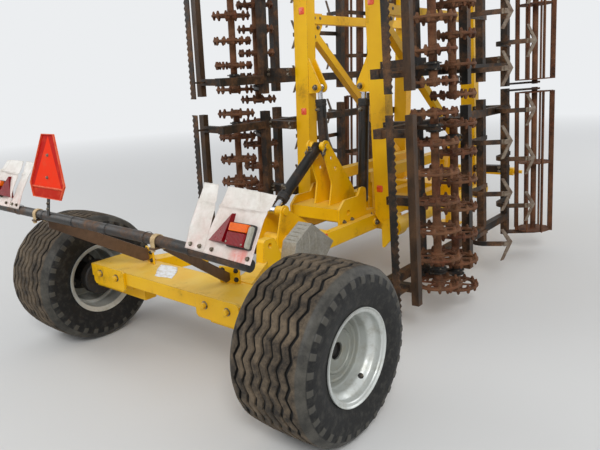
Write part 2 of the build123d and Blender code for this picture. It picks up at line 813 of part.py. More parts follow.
ring_radius = ring_diameter / 2
disc_radius = ring_radius - 12
lug_count = 6
lug_width = 30
disc_flat = disc_radius * cos(radians(180 / (2 * lug_count)))
axle_sides = 8
journal_length = bearing_plate + 16
cage_radius = cage_diameter / 2
cage_disc = 8
cage_journal = cage_plate + 12
for level, foot_z in section_feet.items():
    for place, roller_ahead in crosskill_ahead.items():
        first_z = foot_z + crosskill_first_ring[place]
        roller_length = (ring_count - 1) * ring_pitch + 60
        rings = [
            Plane(origin=at(crosskill_x, roller_ahead, first_z + index * ring_pitch))
            for index in range(ring_count)
        ]
        with BuildPart() as crosskill:
            with BuildSketch(Plane(origin=at(crosskill_x, roller_ahead, first_z - 30))):
                RegularPolygon(ring_axle_diameter / 2 - 1, axle_sides)
            extrude(amount=roller_length)
            with Locations(*[at(crosskill_x, roller_ahead, first_z + share * ring_pitch)
                             for share in bearing_rings]):
                Cylinder(ring_axle_diameter / 2, journal_length)
            with BuildSketch(*rings):
                RegularPolygon(disc_radius, 2 * lug_count, rotation=180 / (2 * lug_count))
            extrude(amount=ring_thickness / 2, both=True)
            with BuildSketch(*rings):
                with PolarLocations((disc_flat + ring_radius) / 2, lug_count):
                    Rectangle(ring_radius - disc_flat, lug_width)
            extrude(amount=ring_lug_length / 2, both=True)
        save_pair(crosskill.part, "crosskill_" + place + "_" + level)

    cage_start = foot_z - cage_end_gap - cage_plate - 6
    cage_end = foot_z + section_height + cage_end_gap + cage_plate + 6
    with BuildPart() as cage:
        with BuildSketch(Plane(origin=at(cage_x, cage_ahead, cage_start + cage_journal))):
            RegularPolygon(cage_axle_diameter / 2, axle_sides)
        extrude(amount=cage_end - cage_start - 2 * cage_journal)
        with Locations(at(cage_x, cage_ahead, cage_start + cage_journal / 2),
                       at(cage_x, cage_ahead, cage_end - cage_journal / 2)):
            Cylinder(cage_axle_diameter / 2, cage_journal)
        discs = [
            Plane(origin=at(cage_x, cage_ahead, foot_z + share * (section_height - cage_disc)))
            for share in (0, 1 / 2, 1)
        ]
        with BuildSketch(*discs):
            RegularPolygon(cage_radius - 20, 12)
        extrude(amount=cage_disc)
        with BuildSketch(Plane(origin=at(cage_x, cage_ahead, foot_z))):
            with PolarLocations(cage_radius - 15, 8):
                Rectangle(30, 10)
        extrude(amount=section_height)
    save_pair(cage.part, "cage_roller_" + level)

# Tines: spring tines in two staggered rows, each bent back to a wide sweep

tine_spacing = (section_height - 40) / tines_in_row
tine_thickness = 12
tine_width = 36
first_tine = tine_spacing / 4 + 10
tine_root_x = rail_x + bar_size / 2
tine_back = 420
sweep_nose_x = tine_reach - 8
sweep_nose_back = 215
sweep_pitch = 15
sweep_thickness = 8
with BuildPart() as tines:
    for row, bar_ahead in enumerate(tine_bars_ahead):
        heights = [
            foot_z + first_tine + row * tine_spacing / 2 + index * tine_spacing
            for foot_z in section_feet.values()
            for index in range(tines_in_row)
        ]
        with BuildSketch(*[Plane.XY.offset(z) for z in heights]):
            with BuildLine():
                FilletPolyline(
                    (tine_root_x + tine_thickness / 2, ahead(bar_ahead + bar_size / 2 - 5)),
                    (tine_root_x + tine_thickness / 2, ahead(bar_ahead - tine_back)),
                    (sweep_nose_x - 24, ahead(bar_ahead - sweep_nose_back - 81)),
                    radius=tine_bend,
                )
            trace(line_width=tine_thickness)
        extrude(amount=tine_width / 2, both=True)
        back = Vector(-sin(radians(sweep_pitch)), cos(radians(sweep_pitch)), 0)
        down = Vector(cos(radians(sweep_pitch)), sin(radians(sweep_pitch)), 0)
        noses = [
            Plane(origin=at(sweep_nose_x, bar_ahead - sweep_nose_back, z), x_dir=back, z_dir=down)
            for z in heights
        ]
        with BuildSketch(*noses):
            Polygon(
                (0, 0), (112, 125), (148, 125), (62, tine_width / 2), (105, tine_width / 2),
                (105, -tine_width / 2), (62, -tine_width / 2), (148, -125), (112, -125),
                align=None,
            )
        extrude(amount=-sweep_thickness)
save_pair(tines.part, "tines")

leveller_length = section_height - 20
tooth_count = round(leveller_length / tooth_pitch)
half_tooth = leveller_length / tooth_count / 2
toothed_edge_x = leveller_x + leveller_width / 2
with BuildPart() as levelling_bars:
    for foot_z in section_feet.values():
        with BuildSketch(Plane.XZ.offset(-ahead(leveller_ahead) - leveller_thickness / 2)):
            with BuildLine():
                Polyline(
                    (leveller_x - leveller_width / 2, foot_z + 10),
                    *[(toothed_edge_x - tooth_depth * (index % 2), foot_z + 10 + index * half_tooth)
                      for index in range(2 * tooth_count + 1)],
                    (leveller_x - leveller_width / 2, foot_z + 10 + leveller_length),
                    close=True,
                )
            make_face()
        extrude(amount=leveller_thickness)
        for z in (foot_z + rail_inset, foot_z + section_height - rail_inset):
            block(leveller_x + 8, (leveller_ahead + rear_bar_ahead - 25) / 2, z - 6, 30,
                  rear_bar_ahead - 25 - leveller_ahead, 12)
save_pair(levelling_bars.part, "levelling_bars")


def cylinder_pair(base, eye, extension, retraction, pin_direction):
    """A barrel pinned at its base and a rod with an eye, lying along one line."""
    axis = Edge.make_line(base, eye)
    direction = axis % 0
    gland = Vector(base) + direction * (axis.length - rod_reach)
    bore_end = gland - direction * (extension + retraction + 80)
    rod_start = gland - direction * (extension + 50)
    with BuildPart() as barrel:
        rod_between(Vector(base) + direction * barrel_start, gland, barrel_diameter)
        rod_between(bore_end, gland, rod_diameter + 2 * cylinder_clearance, mode=Mode.SUBTRACT)
        with BuildSketch(Plane(origin=base, x_dir=direction, z_dir=pin_direction)):
            Circle(eye_radius)
            with Locations((barrel_start / 2 + 2, 0)):
                Rectangle(barrel_start + 4, 2 * eye_radius)
            Circle(eye_bore / 2, mode=Mode.SUBTRACT)
        extrude(amount=26, both=True)
    with BuildPart() as rod:
        with BuildSketch(Plane(origin=eye, x_dir=direction, z_dir=pin_direction)):
            Circle(eye_radius)
        extrude(amount=24, both=True)
        rod_between(rod_start, Vector(eye) - direction * (eye_radius - 4), rod_diameter)
        with BuildSketch(Plane(origin=eye, x_dir=direction, z_dir=pin_direction)):
            Circle(eye_bore / 2)
        extrude(amount=24, both=True, mode=Mode.SUBTRACT)
    return barrel.part, rod.part


# Cylinders: one lifts the machine on its carriage, and one folds each wing

lean = radians(wing_lean)
gusset_pin_across = (gusset_pin_x - fold_x) * cos(lean) - (gusset_pin_z - fold_z) * sin(lean)
gusset_pin_up = (gusset_pin_x - fold_x) * sin(lean) + (gusset_pin_z - fold_z) * cos(lean)
fold_eye = at(fold_x + gusset_pin_across, fold_cylinder_ahead, fold_z + gusset_pin_up)
lift_barrel, lift_rod = cylinder_pair(
    at(0, tower_ahead, tower_z), at(0, lug_ahead, lug_z), lift_extension, lift_retraction, (1, 0, 0)
)
save(lift_barrel, "lift_barrel")
save(lift_rod, "lift_rod")
fold_barrel, fold_rod = cylinder_pair(
    at(fold_base_x, fold_cylinder_ahead, fold_base_z), fold_eye, fold_stroke, 10, (0, 1, 0)
)
for name, part in {"fold_barrel": fold_barrel, "fold_rod": fold_rod}.items():
    save(part, name + "_left")
    save(mirrored(part), name + "_right")
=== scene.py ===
from math import cos, pi, radians, sin

import bmesh
import bpy
import numpy as np
from mathutils import Matrix, Vector


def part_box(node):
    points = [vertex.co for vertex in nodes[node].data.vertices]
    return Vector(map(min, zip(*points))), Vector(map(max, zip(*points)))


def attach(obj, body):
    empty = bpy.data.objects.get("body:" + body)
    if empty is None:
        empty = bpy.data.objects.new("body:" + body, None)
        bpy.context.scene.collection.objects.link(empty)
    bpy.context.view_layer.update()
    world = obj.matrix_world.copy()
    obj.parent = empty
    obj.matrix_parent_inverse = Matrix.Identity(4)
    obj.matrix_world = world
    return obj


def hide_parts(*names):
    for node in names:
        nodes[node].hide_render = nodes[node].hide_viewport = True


# A folded seedbed compactor: a trailed frame whose two wings of rollers and tines stand folded upright
# over a two-wheeled carriage. Metres. The front of the machine is -Y, its left side is +X, +Z is up.
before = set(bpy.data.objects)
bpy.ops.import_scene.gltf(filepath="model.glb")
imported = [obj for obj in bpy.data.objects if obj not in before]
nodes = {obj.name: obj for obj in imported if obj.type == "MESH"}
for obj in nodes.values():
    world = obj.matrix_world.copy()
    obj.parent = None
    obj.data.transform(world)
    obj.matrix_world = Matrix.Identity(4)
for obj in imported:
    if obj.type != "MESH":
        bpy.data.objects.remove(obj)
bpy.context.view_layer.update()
scene = bpy.context.scene
scene.view_settings.view_transform = "Standard"


# ---- Camera -------------------------------------------------------------------------------------------
# The view from behind and to the right of the machine, at about a person's eye height.
# Its place is given from the axle: metres across, behind the axle and up.

tyre_low, tyre_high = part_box("tyre_left")
axle_y = (tyre_low.y + tyre_high.y) / 2
axle_z = (tyre_low.z + tyre_high.z) / 2
camera_place = Vector((-2.637, axle_y + 1.989, 1.694))
camera_yaw, camera_pitch, camera_roll = 0.702, 0.252, -0.055

look = Vector((sin(camera_yaw) * cos(camera_pitch), -cos(camera_yaw) * cos(camera_pitch), -sin(camera_pitch)))
level_right = look.cross(Vector((0, 0, 1))).normalized()
level_up = level_right.cross(look)
right = cos(camera_roll) * level_right + sin(camera_roll) * level_up
up = -sin(camera_roll) * level_right + cos(camera_roll) * level_up
camera_data = bpy.data.cameras.new("camera")
camera_data.sensor_width = 36
camera_data.lens = 34.70
camera_data.clip_end = 200
camera = bpy.data.objects.new("camera", camera_data)
scene.collection.objects.link(camera)
camera.matrix_world = Matrix.Translation(camera_place) @ Matrix((right, up, -look)).transposed().to_4x4()
scene.camera = camera


# ---- Studio -------------------------------------------------------------------------------------------
# A pale floor that fades into a pale room, one large soft lamp over the rear right and two weaker ones.
# The classes for the materials stand here, because the floor is the first thing that needs one.

class Wire:
    """One value in a shader. The operators on it add the Math nodes for that sum."""

    def __init__(self, finish, socket):
        self.finish = finish
        self.socket = socket

    def sum(self, operation, first, second=0.0, clamp=False):
        node = self.finish.add(
            "ShaderNodeMath", {"operation": operation, "use_clamp": clamp}, {0: first, 1: second}
        )
        return Wire(self.finish, node.outputs[0])

    def __add__(self, other):
        return self.sum("ADD", self, other)

    __radd__ = __add__

    def __mul__(self, other):
        return self.sum("MULTIPLY", self, other)

    __rmul__ = __mul__

    def __sub__(self, other):
        return self.sum("SUBTRACT", self, other)

    def __rsub__(self, other):
        return self.sum("SUBTRACT", other, self)

    def __pow__(self, other):
        return self.sum("POWER", self, other)

    def size(self):
        """The value without its sign."""
        return self.sum("ABSOLUTE", self)

    def wave(self):
        """The sine of the value."""
        return self.sum("SINE", self)

    def most(self, other):
        """The greater of the two values."""
        return self.sum("MAXIMUM", self, other)

    def above(self, edge, width=0.0001):
        """0 below the edge and 1 above it, over a slope of that width."""
        return self.sum("MULTIPLY", self - (edge - width / 2), 1 / width, clamp=True)

    def below(self, edge, width=0.0001):
        """1 below the edge and 0 above it."""
        return 1.0 - self.above(edge, width)


class Finish:
    """One procedural material with its Principled shader. Patterns follow Object coordinates."""

    def __init__(self, name):
        self.material = bpy.data.materials.new(name)
        self.material.use_nodes = True
        self.tree = self.material.node_tree
        self.shader = self.tree.nodes["Principled BSDF"]
        self.place = Wire(self, self.add("ShaderNodeTexCoord").outputs["Object"])
        apart = self.add("ShaderNodeSeparateXYZ", {}, {0: self.place})
        self.x, self.y, self.z = (Wire(self, socket) for socket in apart.outputs)
        self.rounded = None

    def add(self, kind, settings=None, inputs=None):
        """A node of that kind: its settings are set first, and then the values or links of its sockets."""
        node = self.tree.nodes.new(kind)
        for key, value in (settings or {}).items():
            setattr(node, key, value)
        for key, value in (inputs or {}).items():
            if isinstance(value, Wire):
                self.tree.links.new(value.socket, node.inputs[key])
            else:
                node.inputs[key].default_value = value
        return node

    def facing_up(self):
        """How far the surface faces up, from -1 to 1."""
        shape = self.add("ShaderNodeNewGeometry")
        apart = self.add("ShaderNodeSeparateXYZ", {}, {0: Wire(self, shape.outputs["Normal"])})
        return Wire(self, apart.outputs[2])

    def edges(self, radius):
        """Up to 0.3 along sharp edges and 0 on flat faces: 1 less the dot product of the flat and the rounded
        normal. The same rounded normal then softens the edges' shading."""
        flat = self.add("ShaderNodeNewGeometry")
        bevel = self.add("ShaderNodeBevel", {"samples": 4}, {"Radius": radius})
        self.rounded = Wire(self, bevel.outputs[0])
        dot = self.add("ShaderNodeVectorMath", {"operation": "DOT_PRODUCT"},
                       {0: Wire(self, flat.outputs["Normal"]), 1: self.rounded})
        return 1.0 - Wire(self, dot.outputs["Value"])

    def noise(self, scale, detail=4.0, rough=0.6, stretch=None):
        """Cloudy noise about 0.5; stretch multiplies its scale along each axis."""
        place = self.place
        if stretch:
            moved = self.add("ShaderNodeMapping", {}, {"Vector": place, "Scale": stretch})
            place = Wire(self, moved.outputs[0])
        node = self.add(
            "ShaderNodeTexNoise", {}, {"Vector": place, "Scale": scale, "Detail": detail, "Roughness": rough}
        )
        return Wire(self, node.outputs[0])

    def mix(self, share, first, second):
        """From the first colour to the second."""
        node = self.add("ShaderNodeMix", {"data_type": "RGBA"}, {0: share, 6: first, 7: second})
        return Wire(self, node.outputs[2])

    def set(self, **sockets):
        """Sets or links sockets of the shader, named with underscores for their spaces."""
        for key, value in sockets.items():
            socket = self.shader.inputs[key.replace("_", " ")]
            if isinstance(value, Wire):
                self.tree.links.new(value.socket, socket)
            else:
                socket.default_value = value
        return self

    def bump(self, height, depth):
        """Raises the surface by the height value times depth, in metres."""
        inputs = {"Height": height, "Distance": depth}
        if self.rounded:
            inputs["Normal"] = self.rounded
        node = self.add("ShaderNodeBump", {}, inputs)
        self.tree.links.new(node.outputs[0], self.shader.inputs["Normal"])
        return self

    def on(self, *names):
        """Puts the finish on CAD nodes."""
        for name in names:
            mesh = nodes[name].data
            mesh.materials.clear()
            mesh.materials.append(self.material)
        return self


def colour(red, green, blue):
    """A colour written as it looks on a screen, 0 to 255, made linear."""
    values = [v / 255 for v in (red, green, blue)]
    return tuple(v / 12.92 if v <= 0.04045 else ((v + 0.055) / 1.055) ** 2.4 for v in values) + (1.0,)


floor_finish = Finish("floor_grey")
floor_finish.set(Base_Color=colour(206, 206, 204), Roughness=0.9)
backdrop = colour(236, 238, 240)
fade_middle, fade_width = 10.5, 13
away = floor_finish.add("ShaderNodeVectorMath", {"operation": "LENGTH"}, {0: floor_finish.place})
far = Wire(floor_finish, away.outputs["Value"]).above(fade_middle, fade_width)
pale = floor_finish.add("ShaderNodeEmission", {}, {"Color": backdrop, "Strength": 1.0})
faded = floor_finish.add("ShaderNodeMixShader", {}, {0: far})
floor_finish.tree.links.new(floor_finish.shader.outputs[0], faded.inputs[1])
floor_finish.tree.links.new(pale.outputs[0], faded.inputs[2])
floor_finish.tree.links.new(faded.outputs[0], floor_finish.tree.nodes["Material Output"].inputs[0])
floor_mesh = bpy.data.meshes.new("floor")
floor_half = 60
floor_corners = [(sx * floor_half, sy * floor_half, 0) for sx, sy in ((-1, -1), (1, -1), (1, 1), (-1, 1))]
floor_mesh.from_pydata(floor_corners, [], [(0, 1, 2, 3)])
floor_mesh.materials.append(floor_finish.material)
floor = bpy.data.objects.new("floor", floor_mesh)
scene.collection.objects.link(floor)

world = bpy.data.worlds.new("room")
scene.world = world
world.use_nodes = True
world_nodes = world.node_tree.nodes
room_light = world_nodes["Background"]
room_light.inputs["Color"].default_value = (0.94, 0.96, 1.0, 1)
room_light.inputs["Strength"].default_value = 0.62
room_seen = world_nodes.new("ShaderNodeBackground")
room_seen.inputs["Color"].default_value = backdrop
rays = world_nodes.new("ShaderNodeLightPath")
room_mix = world_nodes.new("ShaderNodeMixShader")
join = world.node_tree.links.new
seen_ray, gloss_ray = world_nodes.new("ShaderNodeMath"), world_nodes.new("ShaderNodeMath")
seen_ray.operation = gloss_ray.operation = "MAXIMUM"
join(rays.outputs["Is Glossy Ray"], gloss_ray.inputs[0])
join(rays.outputs["Is Transmission Ray"], gloss_ray.inputs[1])
join(rays.outputs["Is Camera Ray"], seen_ray.inputs[0])
join(gloss_ray.outputs[0], seen_ray.inputs[1])
join(seen_ray.outputs[0], room_mix.inputs[0])
join(room_light.outputs[0], room_mix.inputs[1])
join(room_seen.outputs[0], room_mix.inputs[2])
join(room_mix.outputs[0], world_nodes["World Output"].inputs[0])

# each lamp: name, place, aim, width, power
lamps = (
    ("key_lamp", (-6.5, 7.5, 7.5), (0, 0, 1.0), 3.2, 640),
    ("fill_lamp", (7.0, 5.0, 5.0), (0, 0, 1.0), 6.0, 230),
    ("front_lamp", (-4.0, -8.0, 6.0), (0, 0, 1.2), 6.0, 260),
)
for name, place, aim, width, power in lamps:
    lamp_data = bpy.data.lights.new(name, "AREA")
    lamp_data.size = width
    lamp_data.energy = power
    lamp = bpy.data.objects.new(name, lamp_data)
    scene.collection.objects.link(lamp)
    lamp.location = place
    lamp.rotation_euler = (Vector(aim) - Vector(place)).to_track_quat("-Z", "Y").to_euler()


# ---- Axle beam ----------------------------------------------------------------------------------------
# A flat rectangular tube under the rear of the carriage, welded shut at its ends and painted a warm yellow.
# Road dust has dulled its top, where its lighter cream is partly a painted highlight, and a blank white sticker is
# glued on it.

def yellow_finish(name):
    """Warm yellow machine paint: slow changes of shade, dust and a painted highlight in light cream where the
    surface faces up, brown grime in cloudy patches, and thin lines of worn steel along the edges."""
    paint = Finish(name)
    worn = (paint.edges(0.004) * 6.0 * paint.noise(34, 5, 0.7)).above(0.62, 0.3)
    cloud = paint.noise(2.3, 4)
    # Dust where the surface faces up: its light cream is partly a painted highlight on the upward faces.
    dust = paint.facing_up().above(0.6, 0.5) * paint.noise(5, 6, 0.65).above(0.46, 0.4) * 0.5
    grime = paint.noise(4.5, 9, 0.75).above(0.63, 0.14) * 0.55
    specks = paint.noise(85, 3, 0.8).above(0.7, 0.06) * 0.35
    base = paint.mix(cloud.above(0.5, 0.3), colour(240, 188, 8), colour(224, 168, 2))
    dusty = paint.mix(dust, base, colour(238, 214, 132))
    dirty = paint.mix(grime.most(specks), dusty, colour(126, 88, 28))
    paint.set(
        Base_Color=paint.mix(worn, dirty, colour(112, 84, 60)),
        Roughness=0.38 + dust * 0.45 + grime * 0.3,
        Specular_IOR_Level=0.3,
    )
    return paint.bump(paint.noise(30, 6) + grime * 0.6 + worn * -1.2, 0.0005)


yellow = yellow_finish("yellow_paint")
yellow.on("axle_beam")
beam_low, beam_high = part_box("axle_beam")


def at(across, behind, z):
    """A place given across, behind the axle and up."""
    return np.array((across, axle_y + behind, z))


def grid_quads(rows, columns, close_rows=False, close_columns=False):
    """Quads between the points of a grid; close_ joins its last row or column to its first."""
    index = np.arange(rows * columns).reshape(rows, columns)
    if close_rows:
        index = np.concatenate([index, index[:1]])
    if close_columns:
        index = np.concatenate([index, index[:, :1]], axis=1)
    return np.stack([index[:-1, :-1], index[1:, :-1], index[1:, 1:], index[:-1, 1:]], axis=-1).reshape(-1, 4)


def together(shapes):
    """Several shapes as one: each is its points and quads, and the quads count on from shape to shape."""
    starts = np.cumsum([0] + [len(points) for points, quads in shapes[:-1]])
    return (np.concatenate([points for points, quads in shapes]),
            np.concatenate([shape[1] + start for shape, start in zip(shapes, starts)]))


def piece(name, shapes, finish, body, sharp=35, thickness=0.0):
    """One piece from several shapes: welded, faced outwards and made to ride on its body. Edges that turn by
    more than sharp degrees stay sharp, and a thickness makes a wall of an open sheet."""
    points, quads = together(shapes)
    mesh = bpy.data.meshes.new(name)
    mesh.from_pydata(points.tolist(), [], quads.tolist())
    weld = bmesh.new()
    weld.from_mesh(mesh)
    bmesh.ops.remove_doubles(weld, verts=weld.verts, dist=2e-5)
    bmesh.ops.dissolve_degenerate(weld, edges=weld.edges, dist=1e-6)
    bmesh.ops.recalc_face_normals(weld, faces=weld.faces)
    weld.to_mesh(mesh)
    weld.free()
    mesh.shade_smooth()
    mesh.set_sharp_from_angle(angle=radians(sharp))
    mesh.materials.append(finish.material)
    made = bpy.data.objects.new(name, mesh)
    scene.collection.objects.link(made)
    if thickness:
        wall = made.modifiers.new("wall", "SOLIDIFY")
        wall.thickness = thickness
        wall.offset = 0
    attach(made, body)
    return made


def sheet(corners, rows, columns, rise):
    """A four-cornered patch: each point is the bilinear mix of the corners, moved by rise(u, v)."""
    v, u = np.meshgrid(np.linspace(0, 1, columns), np.linspace(0, 1, rows))
    a, b, c, d = (np.array(corner, float) for corner in corners)
    u, v = u[..., None], v[..., None]
    flat = a * (1 - u) * (1 - v) + b * u * (1 - v) + c * u * v + d * (1 - u) * v
    return (flat + rise(u, v)).reshape(-1, 3), grid_quads(rows, columns)


label = Finish("blank_label")
label_age = label.noise(40, 5).above(0.55, 0.2)
label.set(Base_Color=label.mix(label_age, colour(236, 238, 240), colour(206, 200, 184)), Roughness=0.45)
label.bump(label.noise(60, 4), 0.0004)
sticker_z = beam_high.z + 0.0006
sticker_corners = [at(x, behind, sticker_z) for x, behind in
                   ((0.262, -0.082), (0.126, -0.098), (-0.020, 0.054), (0.124, 0.086))]
torn_edges, curl = np.array((0.006, 0.004, 0)), np.array((0, 0, 0.0004))
sticker = sheet(sticker_corners, 12, 12,
                lambda u, v: torn_edges * np.sin(9 * u + 5 * v) + curl * (1 + np.sin(14 * v)))
piece("blank_sticker", [sticker], label, "carriage", thickness=0.0005)


# ---- Stub axles ---------------------------------------------------------------------------------------
# Square stub axles under the beam's ends, each held by yellow clamp plates with zinc-plated hexagon bolts.
# Bolts come from round bar, cold headed, with a washer pressed under the head.

def turned(profile, around, closed=False):
    """A surface turned about Z: each (radius, height) of the profile goes round in equal steps."""
    profile = np.array(profile, float)
    angle = np.linspace(0, 2 * pi, around, endpoint=False)
    radius, height = profile[:, 0], profile[:, 1]
    points = np.stack([
        np.cos(angle)[:, None] * radius, np.sin(angle)[:, None] * radius, np.ones_like(angle)[:, None] * height,
    ], axis=-1)
    return points.reshape(-1, 3), grid_quads(around, len(profile), True, closed)


def placed(shape, places, directions, across=None):
    """Copies of a shape: its Z axis is turned to each direction, and its X axis as near to across as it can be,
    and it is moved to each place."""
    points, quads = shape
    places = np.atleast_2d(np.array(places, float))
    z = np.broadcast_to(np.array(directions, float), places.shape)
    z = z / np.linalg.norm(z, axis=1, keepdims=True)
    near = np.where(np.abs(z[:, :1]) > 0.8, (0.0, 1.0, 0.0), (1.0, 0.0, 0.0)) if across is None else across
    y = np.cross(z, np.broadcast_to(np.array(near, float), places.shape))
    y = y / np.linalg.norm(y, axis=1, keepdims=True)
    x = np.cross(y, z)
    copies = (points[None, :, 0, None] * x[:, None] + points[None, :, 1, None] * y[:, None]
              + points[None, :, 2, None] * z[:, None] + places[:, None])
    starts = np.arange(len(places))[:, None, None] * len(points)
    return copies.reshape(-1, 3), (quads[None] + starts).reshape(-1, 4)


def hex_bolts(places, direction, width):
    """Hexagon heads with washers: a six-sided turned head with a chamfered crown over a round washer."""
    radius = width / 2 / cos(pi / 6)
    head = turned([(0, 0.68 * width), (radius * 0.8, 0.68 * width), (radius, 0.6 * width), (radius, 0.1 * width),
                   (0, 0.1 * width)], 6)
    washer = turned([(0, 0.12 * width), (radius * 1.25, 0.12 * width), (radius * 1.3, 0.08 * width),
                     (radius * 1.3, -0.02 * width), (0, -0.02 * width)], 20)
    return [placed(head, places, direction), placed(washer, places, direction)]


zinc = Finish("bright_zinc")
zinc_age = zinc.noise(60, 5, 0.7)
zinc.set(Base_Color=zinc.mix(zinc_age.above(0.50, 0.2), colour(146, 140, 126), colour(78, 62, 46)),
         Metallic=0.75, Roughness=0.38 + zinc_age * 0.25)
zinc.bump(zinc_age, 0.0002)
yellow.on("stub_axles")
clamp_plate = 0.015
outer_bolt, inner_bolt, bolt_z, clamp_bolt = 0.575, 0.405, beam_high.z - 0.042, 0.030
rear_face, front_face = beam_high.y + clamp_plate - axle_y, beam_low.y - clamp_plate - axle_y
rear_bolts = [at(side * x, rear_face, bolt_z) for side in (1, -1) for x in (outer_bolt, inner_bolt)]
front_bolts = [at(side * outer_bolt, front_face, bolt_z) for side in (1, -1)]
rear_heads, rear_washers = hex_bolts(rear_bolts, (0, 1, 0), clamp_bolt)
front_heads, front_washers = hex_bolts(front_bolts, (0, -1, 0), clamp_bolt)
piece("clamp_bolt_heads", [rear_heads, front_heads], yellow, "carriage")
piece("clamp_bolt_washers", [rear_washers, front_washers], zinc, "carriage")


# ---- Tyres --------------------------------------------------------------------------------------------
# Wide low implement tyres moulded in black rubber: eight wavy ribs round the tread, a smooth shoulder and a
# row of small moulded blocks below it. Dry soil sits in the ribs.

sides = (("left", 1), ("right", -1))
waves = 24
blocks = 30
tread_rows = waves * 15
groove_centres = np.linspace(-0.15, 0.15, 7)
groove_mouth, groove_floor, rib_middle = 0.0098, 0.0062, 0.025  # half widths, and from groove to rib
groove_depth = 0.0115
wave_swing = 0.0098
tread_half, outer_rib = 0.1845, 0.176
tread_drop = 0.0088
block_low, block_high, block_lift = 0.352, 0.386, 0.0052
tyre_half = 0.2279
crown = tyre_high.z / 2
side_profile = np.array((
    (0.2000, 0.2165), (0.2080, 0.2310), (0.2105, 0.2440), (0.2190, 0.2720), (0.2250, 0.3020), (0.2276, 0.3300),
    (0.2270, 0.3500), (0.2268, 0.3530), (0.2236, 0.3700), (0.2186, 0.3850), (0.2176, 0.3875), (0.2090, 0.4020),
    (0.2020, 0.4110), (0.1950, 0.4175), (0.1895, 0.4205),
))


def tyre_shape(side, middle):
    """A tyre as a closed tube round the axle: rows go round, columns go across. The tread's columns keep to
    the edges and floors of the grooves and swing together as a triangle wave, fading out at the shoulders.
    The crown drops by a power of the distance from its middle. The blocks lift the sidewall where a square
    wave of the angle is high."""
    from_centre = (-groove_mouth, -groove_floor, groove_floor, groove_mouth, rib_middle)
    groove = (groove_centres[:, None] + from_centre).ravel()[:-1]
    deep = np.tile((0.0, 1.0, 1.0, 0.0, 0.0), len(groove_centres))[:-1]
    tread_x = np.concatenate([(-tread_half, -outer_rib), groove, (outer_rib, tread_half)])
    deep = np.concatenate([(0, 0), deep, (0, 0)])
    tread_r = crown - tread_drop * (np.abs(tread_x) / tread_half) ** 2.4 - groove_depth * deep
    across = np.concatenate([-side_profile[:, 0], tread_x, side_profile[::-1, 0]])
    radius = np.concatenate([side_profile[:, 1], tread_r, side_profile[::-1, 1]])
    swing = np.clip((0.190 - np.abs(across)) / 0.03, 0, 1) * (radius > 0.40)
    angle = np.linspace(0, 2 * pi, tread_rows, endpoint=False)[:, None]
    phase = waves * angle
    wave = wave_swing * (np.sin(phase) - np.sin(3 * phase) / 9)
    in_block = (radius > block_low) & (radius < block_high)
    lift = block_lift * in_block * np.clip(4 - 6 * np.abs(np.sin(blocks / 2 * angle)), 0, 1)
    x = np.clip(across + swing * wave + np.sign(across) * lift, -tyre_half, tyre_half)
    points = np.stack([
        side * (middle + x), axle_y + radius * np.cos(angle), axle_z + radius * np.sin(angle),
    ], axis=-1)
    return points.reshape(-1, 3), grid_quads(tread_rows, len(across), True, True)


wheel_x = (tyre_low.x + tyre_high.x) / 2
rubber = Finish("tyre_rubber")
out_y = rubber.y - axle_y
out_z = rubber.z - axle_z
radial = (out_y * out_y + out_z * out_z) ** 0.5
rib_top = 0.4235
on_tread = radial.above(rib_top, 0.004)
# Painted shade: the grooves are painted near black, darker than the tread's own rubber.
groove_painted_shade = radial.above(0.40, 0.01) * radial.below(rib_top, 0.003) \
    * rubber.x.size().above(wheel_x - 0.17) * rubber.x.size().below(wheel_x + 0.17)
soil = rubber.noise(11, 7, 0.72).above(0.52, 0.26)
fine_soil = rubber.noise(120, 4, 0.8)
scuff = rubber.noise(26, 6, 0.7).above(0.58, 0.2)
turn = out_z.sum("ARCTAN2", out_z, out_y)
on_block = (turn * (blocks / 2)).wave().size().below(0.58, 0.08) \
    * radial.above(block_low, 0.003) * radial.below(block_high + 0.001, 0.003)
# Painted sheen: the shoulder band is lightened evenly, with soil dust added on top of that.
shoulder = radial.above(0.388, 0.006)
dull = (on_block * 0.5).most(shoulder * (0.22 + soil * 0.45))
side_rubber = rubber.mix(dull.most(scuff * 0.25), colour(11, 11, 11), colour(92, 89, 81))
tread_rubber = rubber.mix(soil * 0.75 + fine_soil.above(0.5, 0.3) * 0.2, colour(27, 25, 23), colour(114, 99, 80))
rubber.set(
    Base_Color=rubber.mix(groove_painted_shade, rubber.mix(on_tread, side_rubber, tread_rubber), colour(10, 9, 8)),
    Roughness=0.55 + on_tread * 0.33, Specular_IOR_Level=0.35,
)
rubber.bump(fine_soil + soil * 0.6, 0.0007)
for name, side in sides:
    made = piece("tyre_tread_" + name, [tyre_shape(side, wheel_x)], rubber, "wheel_" + name, 40)
    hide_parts("tyre_" + name)


# ---- Rims ---------------------------------------------------------------------------------------------
# Rims rolled from steel strip with a deep well, welded to a pressed disc and sprayed silver. The hub is
# bolted in the disc's middle hole, with a cast cap over its bearing, and a valve comes through the well.

